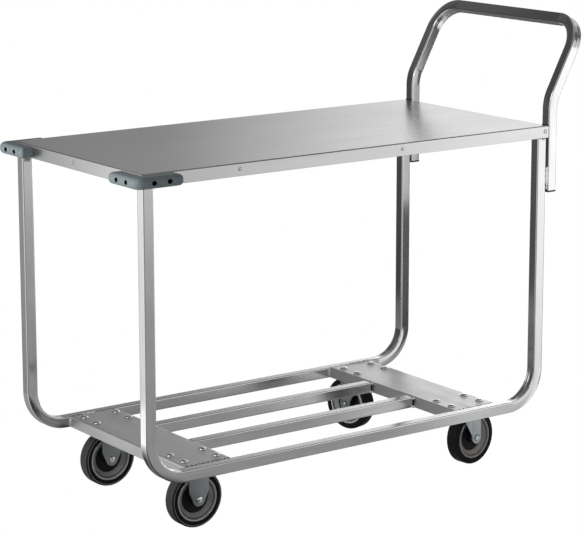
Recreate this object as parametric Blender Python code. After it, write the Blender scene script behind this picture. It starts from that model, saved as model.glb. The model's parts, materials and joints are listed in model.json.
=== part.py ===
"""Stock cart: a sheet steel deck on two bent square-tube side frames, four casters and a leaning push handle.

Metres, +Z up. +X runs towards the push handle and -Y is the near side. The floor is z = 0, and the
origin is under the middle of the cart's whole length and width.
"""

import math

import bmesh
import bpy
from mathutils import Matrix, Vector

GAP = 0.0003  # left between pieces that touch
TINY = 0.001  # how far a cutter runs past what it cuts

# Deck: one steel sheet with its four edges folded down
DECK_LENGTH = 1.090
DECK_WIDTH = 0.524
DECK_HEIGHT = 0.792
DECK_SHEET = 0.0015
DECK_FOLD_RADIUS = 0.002
APRON_DEPTH = 0.028

# Square tube of the frames, rails and handle
TUBE = 0.025
TUBE_WALL = 0.0015
TUBE_CORNER = 0.0035
BEND_RADIUS = 0.0825  # to the middle of the tube
BEND_STEPS = 6

# Side frames and lower shelf
END_CLEARANCE = 0.0035  # between a leg and the folded edge ahead of it
RAIL_ABOVE_WHEEL = 0.0035
INNER_RAIL_Y = 0.079
PLATE_SHEET = 0.003
PLATE_FIT = 0.006  # between a caster's plate and the folded edges of the plate over it
FRONT_PLATE_INSET = 0.167  # from the frame's end to the middle of the plate
REAR_PLATE_INSET = 0.184

# Braces under the deck
BRACE_INSETS = (0.234, 0.660)  # from the frame's front end
BRACE_WIDTH = 0.040
BRACE_DEPTH = 0.022
BRACE_SHEET = 0.0015

# Push handle, with its heights taken from the deck's top
HANDLE_FOOT_DROP = 0.155
HANDLE_KNEE_RISE = 0.055
HANDLE_LEAN = math.radians(28.4)
HANDLE_REACH = 0.1965  # from the knee to the middle of the cross bar, along the lean
HANDLE_BEND_RADIUS = 0.0675
PAD_HEIGHT = 0.040
PAD_DROP = 0.115
PLUG_CAP = 0.004
PLUG_STEM = 0.014

# Corner bumpers
BUMPER_ARM = 0.0845
BUMPER_THICK = 0.029
BUMPER_HEIGHT = 0.025
BUMPER_DROP = 0.002  # of its top below the deck
BUMPER_CORNER = 0.022
BUMPER_END = 0.010
BUMPER_ROUND = 0.008
SCREW_RECESS = 0.0048
SCREW_DEPTH = 0.016
SCREWS = (0.013, 0.050)  # along each arm, from the deck's corner

# Wheels
WHEEL_RADIUS = 0.0635
TYRE_WIDTH = 0.032
TYRE_DEPTH = 0.012
TYRE_SHOULDER = 0.004
WHEEL_STEPS = 32
PIN_STEPS = 12
RACE_STEPS = 24
HOLE_STEPS = 8
FOOT_STEPS = 6
CORE_INSET = 0.001  # of the wheel centre's edge behind the tyre's side
HUB_LENGTH = 0.037
HUB_CLEARANCE = 0.001
HUB_RADIUS = 0.013
WEB_RADIUS = 0.034
WEB_HALF = 0.004
DISH_HALF = 0.011
RIM_LIP = 0.0035
BUSH_WALL = 0.0017
BUSH_FIT = 0.0002
AXLE_RADIUS = 0.0045
AXLE_FIT = 0.0003
AXLE_HEAD_RADIUS = 0.0072
AXLE_HEAD_HEIGHT = 0.0042
DOME_BRIM = 0.2  # of a domed head's height is its straight rim

# Caster plates, bolts and brackets
CASTER_INSET = 0.0822  # from the frame's side
CASTER_SHEET = 0.003
BOLT_SPACING_X = 0.082
BOLT_SPACING_Y = 0.054
BOLT_EDGE_X = 0.010  # from a bolt to the edge of the caster's plate
BOLT_EDGE_Y = 0.011
BOLT_RADIUS = 0.004
BOLT_FIT = 0.0005
BOLT_HEAD_RADIUS = 0.0085
BOLT_HEAD_HEIGHT = 0.0048
NUT_RADIUS = 0.0072
NUT_HEIGHT = 0.006
FORK_SHEET = 0.0025
BRACKET_WIDTH = 0.050
BRACKET_TAPER_RISE = 0.0185  # above the axle
BRACKET_FOOT_RADIUS = 0.015

# Swivel casters
TRAIL = 0.042
NEAR_SWIVEL = 7.0
FAR_SWIVEL = 104.0
RACE_RADIUS = 0.028
RACE_HEIGHT = 0.0095
RACE_BEVEL = 0.003
CROWN_RADIUS = 0.030
CROWN_SHEET = 0.003
KINGPIN_RADIUS = 0.006
KINGPIN_HEAD_RADIUS = 0.010
KINGPIN_HEAD = 0.003
KINGPIN_FIT = 0.0004
LEG_FRONT_TOP = -0.012  # of a fork leg, from the kingpin
LEG_REAR_TOP = 0.020
LEG_SHOULDER_DROP = 0.021  # below the crown
LEG_WAIST_RISE = 0.0065  # above the axle
FORK_FOOT_RADIUS = 0.0135

FRAME_HALF_LENGTH = DECK_LENGTH / 2 - DECK_SHEET - END_CLEARANCE
FRAME_HALF_WIDTH = DECK_WIDTH / 2 - DECK_SHEET - GAP
DECK_UNDERSIDE = DECK_HEIGHT - DECK_SHEET
SIDE_Y = FRAME_HALF_WIDTH - TUBE / 2
RAIL_MIDDLE = 2 * WHEEL_RADIUS + RAIL_ABOVE_WHEEL + TUBE / 2
RAIL_TOP = RAIL_MIDDLE + TUBE / 2

CASTER_PLATE_LENGTH = BOLT_SPACING_X + 2 * BOLT_EDGE_X
CASTER_PLATE_WIDTH = BOLT_SPACING_Y + 2 * BOLT_EDGE_Y
PLATE_WIDTH = CASTER_PLATE_LENGTH + 2 * (PLATE_FIT + PLATE_SHEET)
PLATE_HALF_LENGTH = FRAME_HALF_WIDTH - TUBE - GAP
FRONT_PLATE_X = FRONT_PLATE_INSET - FRAME_HALF_LENGTH
REAR_PLATE_X = FRAME_HALF_LENGTH - REAR_PLATE_INSET

CASTER_Y = FRAME_HALF_WIDTH - CASTER_INSET
CASTER_TOP = RAIL_TOP - PLATE_SHEET - GAP
CASTER_UNDERSIDE = CASTER_TOP - CASTER_SHEET
RACE_UNDERSIDE = CASTER_UNDERSIDE - GAP - RACE_HEIGHT
CROWN_TOP = RACE_UNDERSIDE - GAP
CROWN_UNDERSIDE = CROWN_TOP - CROWN_SHEET
RIM_RADIUS = WHEEL_RADIUS - TYRE_DEPTH
BUSH_BORE = AXLE_RADIUS + AXLE_FIT
BUSH_RADIUS = BUSH_BORE + BUSH_WALL
FORK_HALF_GAP = HUB_LENGTH / 2 + HUB_CLEARANCE
FORK_HALF_OUTSIDE = FORK_HALF_GAP + FORK_SHEET

HANDLE_X = DECK_LENGTH / 2 + GAP + TUBE / 2
HANDLE_Y = DECK_WIDTH / 2 - TUBE / 2
HANDLE_FOOT = DECK_HEIGHT - HANDLE_FOOT_DROP
HANDLE_KNEE = DECK_HEIGHT + HANDLE_KNEE_RISE
BAR_X = HANDLE_X + HANDLE_REACH * math.sin(HANDLE_LEAN)
BAR_Z = HANDLE_KNEE + HANDLE_REACH * math.cos(HANDLE_LEAN)
BAR_BACK = BAR_X + TUBE / 2 * math.cos(HANDLE_LEAN) + (TUBE / 2 - TUBE_CORNER) * math.sin(HANDLE_LEAN)
BUMPER_FRONT = -DECK_LENGTH / 2 - BUMPER_THICK
MIDDLE_X = (BUMPER_FRONT + BAR_BACK) / 2  # of the whole cart, from the deck's middle


def clear_scene():
    """Removes the objects that a new scene starts with."""
    for old in list(bpy.data.objects):
        bpy.data.objects.remove(old, do_unlink=True)


def material(name, colour, roughness, metallic):
    """A Principled surface of one colour."""
    made = bpy.data.materials.new(name)
    made.use_nodes = True
    shader = made.node_tree.nodes["Principled BSDF"]
    shader.inputs["Base Color"].default_value = (*colour, 1.0)
    shader.inputs["Roughness"].default_value = roughness
    shader.inputs["Metallic"].default_value = metallic
    return made


def put(name, shape, carrier, place=(0.0, 0.0, 0.0), turn=(0.0, 0.0, 0.0)):
    """Puts a mesh, or an empty where shape is None, on its carrier. The turn is in degrees."""
    piece = bpy.data.objects.new(name, shape)
    piece.parent = carrier
    piece.location = place
    piece.rotation_euler = [math.radians(angle) for angle in turn]
    bpy.context.scene.collection.objects.link(piece)
    return piece


def finished(mesh, finish):
    """Gives a mesh its material, and smooth faces between sharp edges."""
    mesh.materials.append(finish)
    mesh.shade_smooth()
    mesh.set_sharp_from_angle(angle=math.radians(30))
    return mesh


def combine(piece, tools, operation):
    """Cuts the tools out of the piece, or joins them to it. The tools stay as hidden guides."""
    for tool in tools:
        tool.hide_render = True
        tool.display_type = "WIRE"
        step = piece.modifiers.new(operation.lower(), "BOOLEAN")
        step.operation = operation
        step.solver = "EXACT"
        step.object = tool
    return piece


def mesh_from(bm, name):
    """Makes a bmesh an outward-facing mesh."""
    bmesh.ops.recalc_face_normals(bm, faces=bm.faces)
    mesh = bpy.data.meshes.new(name)
    bm.to_mesh(mesh)
    bm.free()
    return mesh


def soften(piece, width, segments, chosen):
    """Rounds the edges of a piece whose two ends chosen() says yes to."""
    mesh = piece.data
    weights = mesh.attributes.new("bevel_weight_edge", "FLOAT", "EDGE")
    for edge in mesh.edges:
        ends = [mesh.vertices[i].co for i in edge.vertices]
        weights.data[edge.index].value = 1.0 if chosen(*ends) else 0.0
    step = piece.modifiers.new("soften", "BEVEL")
    step.limit_method = "WEIGHT"
    step.width = width
    step.segments = segments


def box_mesh(name, low, high):
    """A box between two corners."""
    bm = bmesh.new()
    size = Vector(high) - Vector(low)
    middle = (Vector(high) + Vector(low)) / 2
    bmesh.ops.create_cube(bm, size=1.0, matrix=Matrix.Translation(middle) @ Matrix.Diagonal((*size, 1.0)))
    return mesh_from(bm, name)


def prism_mesh(name, outline, start, depth):
    """A closed outline of 3-D points, carried along the vector depth from the vector start."""
    bm = bmesh.new()
    corners = [bm.verts.new(Vector(point) + Vector(start)) for point in outline]
    face = bm.faces.new(corners)
    swept = bmesh.ops.extrude_face_region(bm, geom=[face])["geom"]
    moved = [item for item in swept if isinstance(item, bmesh.types.BMVert)]
    bmesh.ops.translate(bm, verts=moved, vec=Vector(depth))
    return mesh_from(bm, name)


def turned_mesh(name, profile, steps, closed, phase=0.0):
    """A profile of (radius, height) points turned about Z; an open one starts and ends on the axis."""
    bm = bmesh.new()
    verts = [bm.verts.new((radius, 0.0, height)) for radius, height in profile]
    edges = [bm.edges.new(pair) for pair in zip(verts, verts[1:])]
    if closed:
        edges.append(bm.edges.new((verts[-1], verts[0])))
    bmesh.ops.rotate(bm, verts=bm.verts, cent=(0, 0, 0), matrix=Matrix.Rotation(phase, 3, "Z"))
    bmesh.ops.spin(bm, geom=verts + edges, cent=(0, 0, 0), axis=(0, 0, 1), angle=2 * math.pi,
                   steps=steps, use_merge=True)
    bmesh.ops.remove_doubles(bm, verts=bm.verts, dist=1e-6)
    return mesh_from(bm, name)


def rod_mesh(name, radius, start, end, steps):
    """A cylinder between two points."""
    start, end = Vector(start), Vector(end)
    turn = (end - start).to_track_quat("Z", "Y").to_matrix().to_4x4()
    place = Matrix.Translation((start + end) / 2) @ turn
    bm = bmesh.new()
    bmesh.ops.create_cone(bm, cap_ends=True, segments=steps, radius1=radius, radius2=radius,
                          depth=(end - start).length, matrix=place)
    return mesh_from(bm, name)


def hole_mesh(radius, start, end):
    """A cutter whose flats stand at the radius, so that the hole is nowhere smaller."""
    return rod_mesh("hole", radius / math.cos(math.pi / HOLE_STEPS), start, end, HOLE_STEPS)


def arc(centre, radius, start, end, steps):
    """Points of an arc in a plane, from one angle in degrees to another."""
    angles = [math.radians(start + (end - start) * i / steps) for i in range(steps + 1)]
    return [(centre[0] + radius * math.cos(a), centre[1] + radius * math.sin(a)) for a in angles]


def rounded_square(side, corner):
    """The outline of a square whose corners are cut off, centred on the origin."""
    reach = side / 2 - corner
    centres = ((reach, reach, 0), (-reach, reach, 90), (-reach, -reach, 180), (reach, -reach, 270))
    return [point for x, y, turn in centres for point in arc((x, y), corner, turn, turn + 90, 1)]


def bent_path(points, radius):
    """A polyline whose inner corners are replaced by arcs of one radius."""
    path = [Vector(points[0])]
    for before, corner, after in zip(points, points[1:], points[2:]):
        corner = Vector(corner)
        into = (corner - Vector(before)).normalized()
        out = (Vector(after) - corner).normalized()
        angle = into.angle(out)
        start = corner - into * radius * math.tan(angle / 2)
        inward = (out - into * into.dot(out)).normalized()
        centre = start + inward * radius
        for i in range(BEND_STEPS + 1):
            turn = angle * i / BEND_STEPS
            path.append(centre - inward * radius * math.cos(turn) + into * radius * math.sin(turn))
    path.append(Vector(points[-1]))
    return path


def sweep_tube(name, frames):
    """A hollow square tube, open at both ends, through frames of (middle, side, across)."""
    outer = rounded_square(TUBE, TUBE_CORNER)
    inner = rounded_square(TUBE - 2 * TUBE_WALL, TUBE_CORNER - TUBE_WALL)
    bm = bmesh.new()
    rings = [[[bm.verts.new(middle + side * u + across * v) for u, v in outline]
              for outline in (outer, inner)] for middle, side, across in frames]
    following = [(j, (j + 1) % len(outer)) for j in range(len(outer))]
    for ring, after in zip(rings, rings[1:]):
        for skin, next_skin in zip(ring, after):
            for j, k in following:
                bm.faces.new((skin[j], skin[k], next_skin[k], next_skin[j]))
    for skin, lining in (rings[0], rings[-1]):
        for j, k in following:
            bm.faces.new((skin[j], skin[k], lining[k], lining[j]))
    return mesh_from(bm, name)


def directions(path):
    """The direction of the path at each of its points."""
    ends = zip([path[0]] + path[:-1], path[1:] + [path[-1]])
    return [(after - before).normalized() for before, after in ends]


def flat_tube(name, path, side):
    """A tube whose path lies in a plane square to the vector side."""
    side = Vector(side)
    return sweep_tube(name, [(p, side, along.cross(side).normalized())
                             for p, along in zip(path, directions(path))])


def channel_mesh(name, width, depth, sheet, middle_x, top):
    """A folded channel that runs across the cart and opens downwards."""
    half = width / 2
    inside = half - sheet
    section = [(-half, -depth), (-half, 0), (half, 0), (half, -depth),
               (inside, -depth), (inside, -sheet), (-inside, -sheet), (-inside, -depth)]
    outline = [(x, 0.0, z) for x, z in section]
    return prism_mesh(name, outline, (middle_x, -PLATE_HALF_LENGTH, top), (0, 2 * PLATE_HALF_LENGTH, 0))


def build_deck(cart, finish):
    """The deck sheet: a shallow pan turned upside down."""
    half_length, half_width = DECK_LENGTH / 2, DECK_WIDTH / 2
    bottom = DECK_HEIGHT - APRON_DEPTH
    outside = box_mesh("top_deck", (-half_length, -half_width, bottom),
                       (half_length, half_width, DECK_HEIGHT))
    pan = put("top_deck", finished(outside, finish), cart)
    soften(pan, DECK_FOLD_RADIUS, 2, lambda a, b: max(a.z, b.z) > DECK_UNDERSIDE)
    inside = box_mesh("deck_inside", (-half_length + DECK_SHEET, -half_width + DECK_SHEET, bottom - TINY),
                      (half_length - DECK_SHEET, half_width - DECK_SHEET, DECK_UNDERSIDE))
    combine(pan, [put("deck_inside", inside, cart)], "DIFFERENCE")


def build_side_frames(cart, finish):
    """Each side is one tube, bent into a leg, a lower rail and a leg."""
    leg_x = FRAME_HALF_LENGTH - TUBE / 2
    top = DECK_UNDERSIDE - GAP
    for name, y in (("side_frame_near", -SIDE_Y), ("side_frame_far", SIDE_Y)):
        corners = [(-leg_x, y, top), (-leg_x, y, RAIL_MIDDLE), (leg_x, y, RAIL_MIDDLE), (leg_x, y, top)]
        tube = flat_tube(name, bent_path(corners, BEND_RADIUS), (0, 1, 0))
        put(name, finished(tube, finish), cart)


def build_deck_frame(cart, finish):
    """Straight tubes hidden behind the folded edges, and the two braces between them."""
    height = DECK_UNDERSIDE - GAP - TUBE / 2
    rail_end = FRAME_HALF_LENGTH - TUBE - GAP
    cross_x = FRAME_HALF_LENGTH - TUBE / 2
    for name, y in (("deck_rail_near", -SIDE_Y), ("deck_rail_far", SIDE_Y)):
        path = [Vector((-rail_end, y, height)), Vector((rail_end, y, height))]
        put(name, finished(flat_tube(name, path, (0, 1, 0)), finish), cart)
    for name, x in (("deck_cross_front", -cross_x), ("deck_cross_rear", cross_x)):
        path = [Vector((x, -PLATE_HALF_LENGTH, height)), Vector((x, PLATE_HALF_LENGTH, height))]
        put(name, finished(flat_tube(name, path, (1, 0, 0)), finish), cart)
    for name, inset in zip(("deck_brace_front", "deck_brace_rear"), BRACE_INSETS):
        brace = channel_mesh(name, BRACE_WIDTH, BRACE_DEPTH, BRACE_SHEET, inset - FRAME_HALF_LENGTH,
                             DECK_UNDERSIDE - GAP)
        put(name, finished(brace, finish), cart)


def bolt_places(x, y):
    """Where the four bolts stand of the caster at x and y."""
    return [(x + i * BOLT_SPACING_X / 2, y + j * BOLT_SPACING_Y / 2) for i in (-1, 1) for j in (-1, 1)]


def bolt_holes(label, cart, centre_x, centre_y):
    """Cutters for the four holes of one caster."""
    cutter = hole_mesh(BOLT_RADIUS + BOLT_FIT, (0, 0, CASTER_UNDERSIDE - TINY), (0, 0, RAIL_TOP + TINY))
    return [put(f"{label}_hole_{n}", cutter, cart, (x, y, 0.0))
            for n, (x, y) in enumerate(bolt_places(centre_x, centre_y))]


def build_shelf(cart, plate_finish, tube_finish):
    """The two folded plates that carry the casters, and the two inner rails between them."""
    for name, x in (("cross_plate_front", FRONT_PLATE_X), ("cross_plate_rear", REAR_PLATE_X)):
        mesh = channel_mesh(name, PLATE_WIDTH, TUBE, PLATE_SHEET, x, RAIL_TOP)
        plate = put(name, finished(mesh, plate_finish), cart)
        for side in (-1, 1):
            combine(plate, bolt_holes(f"{name}_{side + 1}", cart, x, side * CASTER_Y), "DIFFERENCE")
    start = FRONT_PLATE_X + PLATE_WIDTH / 2 + GAP
    end = REAR_PLATE_X - PLATE_WIDTH / 2 - GAP
    for name, y in (("inner_rail_near", -INNER_RAIL_Y), ("inner_rail_far", INNER_RAIL_Y)):
        path = [Vector((start, y, RAIL_MIDDLE)), Vector((end, y, RAIL_MIDDLE))]
        put(name, finished(flat_tube(name, path, (0, 1, 0)), tube_finish), cart)


def handle_frames():
    """The handle's middle line, from the near foot over the cross bar to the far foot, with its turns."""
    foot = (HANDLE_X, -HANDLE_Y, HANDLE_FOOT + PLUG_CAP + GAP)
    knee = (HANDLE_X, -HANDLE_Y, HANDLE_KNEE)
    top = (BAR_X, -HANDLE_Y, BAR_Z)
    rising = bent_path([foot, knee, top], BEND_RADIUS)[:-1]
    over = bent_path([tuple(rising[-1]), top, (BAR_X, 0.0, BAR_Z)], HANDLE_BEND_RADIUS)[1:]
    half = rising + over[:-1]
    path = half + [Vector((p.x, -p.y, p.z)) for p in reversed(half)]
    face = Vector((math.cos(HANDLE_LEAN), 0.0, -math.sin(HANDLE_LEAN)))
    sideways = Vector((0.0, 1.0, 0.0))
    frames = []
    for i, (point, along) in enumerate(zip(path, directions(path))):
        if i < len(rising):
            side = sideways
        elif i >= len(path) - len(rising):
            side = -sideways
        else:
            side = along.cross(face).normalized()
        frames.append((point, side, along.cross(side).normalized()))
    return frames


def build_handle(cart, finish, plug_finish):
    """One bent tube welded behind the rear legs, with plastic plugs in its feet."""
    handle = put("push_handle", finished(sweep_tube("push_handle", handle_frames()), finish), cart)
    pad_reach = TUBE / 2 - TUBE_CORNER
    pad_middle = DECK_HEIGHT - PAD_DROP
    cap_outline = [(x, y, 0.0) for x, y in rounded_square(TUBE, TUBE_CORNER)]
    stem_side = TUBE - 2 * (TUBE_WALL + GAP)
    stem_outline = [(x, y, 0.0) for x, y in rounded_square(stem_side, TUBE_CORNER - TUBE_WALL)]
    for label, y in (("near", -HANDLE_Y), ("far", HANDLE_Y)):
        low = (FRAME_HALF_LENGTH + GAP, y - pad_reach, pad_middle - PAD_HEIGHT / 2)
        high = (HANDLE_X - TUBE / 2 + TUBE_WALL / 2, y + pad_reach, pad_middle + PAD_HEIGHT / 2)
        combine(handle, [put(f"weld_pad_{label}", box_mesh("weld_pad", low, high), cart)], "UNION")
        name = f"handle_plug_{label}"
        cap = prism_mesh(name, cap_outline, (0, 0, 0), (0, 0, PLUG_CAP))
        stem = prism_mesh("stem", stem_outline, (0, 0, PLUG_CAP / 2), (0, 0, PLUG_STEM))
        foot = (HANDLE_X, y, HANDLE_FOOT)
        plug = put(name, finished(cap, plug_finish), cart, foot)
        combine(plug, [put(f"plug_stem_{label}", stem, cart, foot)], "UNION")


def bumper_outline():
    """A bumper from above: an L round the deck's corner, drawn for the corner at the origin."""
    out, arm = BUMPER_THICK, BUMPER_ARM
    points = [(-GAP, arm)]
    points += arc((-out + BUMPER_END, arm - BUMPER_END), BUMPER_END, 90, 180, 4)
    points += arc((-out + BUMPER_CORNER, -out + BUMPER_CORNER), BUMPER_CORNER, 180, 270, 6)
    points += arc((arm - BUMPER_END, -out + BUMPER_END), BUMPER_END, 270, 360, 4)
    points += [(arm, -GAP), (-GAP, -GAP)]
    return points


def on_outer_rim(start, end):
    """Whether an edge is level and stands clear of the deck's folded sides."""
    out_x, out_y = DECK_LENGTH / 2 + 2 * GAP, DECK_WIDTH / 2 + 2 * GAP
    level = abs(start.z - end.z) < GAP
    return level and all(abs(p.x) > out_x or abs(p.y) > out_y for p in (start, end))


def build_bumpers(cart, finish):
    """Soft grey mouldings screwed round the deck's two front corners."""
    top = DECK_HEIGHT - BUMPER_DROP
    bottom = top - BUMPER_HEIGHT
    middle = (top + bottom) / 2
    corner_x = -DECK_LENGTH / 2
    for label, side in (("near", -1), ("far", 1)):
        name = f"corner_bumper_{label}"
        corner_y = side * DECK_WIDTH / 2
        outline = [(x, -side * y, 0.0) for x, y in bumper_outline()]
        mesh = prism_mesh(name, outline, (corner_x, corner_y, bottom), (0, 0, BUMPER_HEIGHT))
        bumper = put(name, finished(mesh, finish), cart)
        soften(bumper, BUMPER_ROUND, 3, on_outer_rim)
        outside_y = corner_y + side * BUMPER_THICK
        holes = [((corner_x + reach, outside_y + side * TINY, middle),
                  (corner_x + reach, outside_y - side * SCREW_DEPTH, middle)) for reach in SCREWS]
        holes += [((BUMPER_FRONT - TINY, corner_y - side * reach, middle),
                   (BUMPER_FRONT + SCREW_DEPTH, corner_y - side * reach, middle)) for reach in SCREWS]
        cutters = [put(f"{name}_hole_{n}", hole_mesh(SCREW_RECESS, start, end), cart)
                   for n, (start, end) in enumerate(holes)]
        combine(bumper, cutters, "DIFFERENCE")


def tyre_profile():
    """A solid rubber tyre: tread, rounded shoulders and side walls, closed round its seat."""
    half = TYRE_WIDTH / 2
    seat = RIM_RADIUS + BUSH_FIT
    tread = WHEEL_RADIUS / math.cos(math.pi / WHEEL_STEPS)
    lower = [(seat, -half), (tread - TYRE_SHOULDER, -half), (tread, -half + TYRE_SHOULDER)]
    return lower + [(r, -h) for r, h in reversed(lower)]


def core_profile():
    """The moulded wheel centre: rim, sloping dish, web and hub, closed round its bore."""
    half = TYRE_WIDTH / 2 - CORE_INSET
    bore = BUSH_RADIUS + BUSH_FIT
    lower = [(bore, -HUB_LENGTH / 2), (HUB_RADIUS, -HUB_LENGTH / 2), (HUB_RADIUS, -WEB_HALF),
             (WEB_RADIUS, -WEB_HALF), (WEB_RADIUS, -DISH_HALF), (RIM_RADIUS - RIM_LIP, -half),
             (RIM_RADIUS, -half)]
    return lower + [(r, -h) for r, h in reversed(lower)]


def bush_profile():
    """The plain bearing between the hub and the axle."""
    half = HUB_LENGTH / 2
    return [(BUSH_BORE, -half), (BUSH_RADIUS, -half), (BUSH_RADIUS, half), (BUSH_BORE, half)]


def dome_profile(radius, height, face):
    """A domed head on a flat face, from its rim to the axis."""
    brim = height * DOME_BRIM
    dome = [(radius * math.cos(a), face + brim + (height - brim) * math.sin(a))
            for a in (0.0, math.radians(45))]
    return [(radius, face)] + dome + [(0.0, face + height)]


def axle_profile():
    """A riveted axle with a domed head at both ends."""
    face = FORK_HALF_OUTSIDE + GAP
    upper = [(AXLE_RADIUS, face)] + dome_profile(AXLE_HEAD_RADIUS, AXLE_HEAD_HEIGHT, face)
    return [(r, -h) for r, h in reversed(upper)] + upper


def bolt_profile():
    """A domed bolt with its nut, drawn as one solid."""
    head = RAIL_TOP + GAP
    nut_top = CASTER_UNDERSIDE - GAP
    shank = [(0.0, nut_top - NUT_HEIGHT), (NUT_RADIUS, nut_top - NUT_HEIGHT), (NUT_RADIUS, nut_top),
             (BOLT_RADIUS, nut_top), (BOLT_RADIUS, head)]
    return shank + dome_profile(BOLT_HEAD_RADIUS, BOLT_HEAD_HEIGHT, head)


def wheel_meshes(finishes):
    """The tyre, wheel centre, bush and axle, which all four casters share."""
    phase = math.pi / WHEEL_STEPS
    return {
        "tyre": finished(turned_mesh("tyre", tyre_profile(), WHEEL_STEPS, True, phase), finishes["rubber"]),
        "wheel_core": finished(turned_mesh("wheel_core", core_profile(), WHEEL_STEPS, True, phase),
                               finishes["core"]),
        "wheel_bush": finished(turned_mesh("wheel_bush", bush_profile(), PIN_STEPS, True), finishes["bush"]),
        "axle": finished(turned_mesh("axle", axle_profile(), PIN_STEPS, False), finishes["zinc"]),
    }


def fit_wheel(label, meshes, carrier, centre):
    """Puts one wheel and its axle on a caster, with every origin on the axle's line."""
    for kind, mesh in meshes.items():
        put(f"{kind}_{label}", mesh, carrier, centre, (90.0, 0.0, 0.0))


def fit_bolts(label, mesh, cart, centre_x, centre_y):
    """Puts the four bolts of one caster in their holes."""
    for n, (x, y) in enumerate(bolt_places(centre_x, centre_y)):
        put(f"bolt_{label}_{n + 1}", mesh, cart, (x, y, 0.0))


def caster_plate_mesh(name):
    """The flat plate of a caster, centred over the origin."""
    half_length, half_width = CASTER_PLATE_LENGTH / 2, CASTER_PLATE_WIDTH / 2
    return box_mesh(name, (-half_length, -half_width, CASTER_UNDERSIDE),
                    (half_length, half_width, CASTER_TOP))


def leg_pair(name, outline, carrier, place):
    """Both legs of a bracket or fork: an outline in the plane of the wheel, one sheet thick."""
    legs = []
    for side in (-1, 1):
        flat = [(x, side * FORK_HALF_GAP, z) for x, z in outline]
        mesh = prism_mesh("leg", flat, (0, 0, 0), (0, side * FORK_SHEET, 0))
        legs.append(put(f"{name}_leg_{side + 1}", mesh, carrier, place))
    return legs


def axle_hole(name, carrier, centre):
    """A cutter for the axle's hole through both legs."""
    reach = FORK_HALF_OUTSIDE + TINY
    hole = hole_mesh(AXLE_RADIUS + GAP, (0, -reach, 0), (0, reach, 0))
    return put(f"{name}_axle_hole", hole, carrier, centre)


def bracket_outline():
    """A flat leg with parallel sides that taper to a round foot at the axle."""
    half = BRACKET_WIDTH / 2
    top = CASTER_TOP - CASTER_SHEET / 2
    taper_top = WHEEL_RADIUS + BRACKET_TAPER_RISE
    distance = math.hypot(half, BRACKET_TAPER_RISE)
    tangent = math.degrees(math.atan2(BRACKET_TAPER_RISE, half) - math.acos(BRACKET_FOOT_RADIUS / distance))
    foot = arc((0.0, WHEEL_RADIUS), BRACKET_FOOT_RADIUS, tangent, -180 - tangent, FOOT_STEPS)
    return [(-half, top), (half, top), (half, taper_top)] + foot + [(-half, taper_top)]


def build_rigid_caster(label, side, cart, finishes, wheel, bolt):
    """A fixed front caster: plate and two flat legs in one bracket, wheel, axle and bolts."""
    name = f"rigid_bracket_{label}"
    place = (FRONT_PLATE_X, side * CASTER_Y, 0.0)
    centre = (FRONT_PLATE_X, side * CASTER_Y, WHEEL_RADIUS)
    bracket = put(name, finished(caster_plate_mesh(name), finishes["zinc"]), cart, place)
    combine(bracket, leg_pair(name, bracket_outline(), cart, place), "UNION")
    holes = bolt_holes(name, cart, place[0], place[1]) + [axle_hole(name, cart, centre)]
    combine(bracket, holes, "DIFFERENCE")
    fit_wheel(label, wheel, cart, centre)
    fit_bolts(label, bolt, cart, place[0], place[1])


def race_profile():
    """The swivel race: a ring between the plate and the crown, bevelled at its lower edge."""
    bore = KINGPIN_RADIUS + KINGPIN_FIT
    return [(bore, RACE_UNDERSIDE), (RACE_RADIUS - RACE_BEVEL, RACE_UNDERSIDE),
            (RACE_RADIUS, RACE_UNDERSIDE + RACE_BEVEL), (RACE_RADIUS, RACE_UNDERSIDE + RACE_HEIGHT),
            (bore, RACE_UNDERSIDE + RACE_HEIGHT)]


def kingpin_profile():
    """The kingpin: a shank through crown, race and plate, with its head under the crown."""
    head_top = CROWN_UNDERSIDE - GAP
    return [(0.0, head_top - KINGPIN_HEAD), (KINGPIN_HEAD_RADIUS, head_top - KINGPIN_HEAD),
            (KINGPIN_HEAD_RADIUS, head_top), (KINGPIN_RADIUS, head_top), (KINGPIN_RADIUS, CASTER_TOP),
            (0.0, CASTER_TOP)]


def fork_outline():
    """A fork leg that trails from the crown down to the axle, with an upright rear edge."""
    top = CROWN_TOP - CROWN_SHEET / 2
    rear, front = TRAIL + FORK_FOOT_RADIUS, TRAIL - FORK_FOOT_RADIUS
    foot = arc((TRAIL, WHEEL_RADIUS), FORK_FOOT_RADIUS, 0, -180, FOOT_STEPS)
    upper = [(LEG_FRONT_TOP, top), (LEG_REAR_TOP, top), (rear, CROWN_TOP - LEG_SHOULDER_DROP)]
    return upper + foot + [(front, WHEEL_RADIUS + LEG_WAIST_RISE)]


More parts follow.
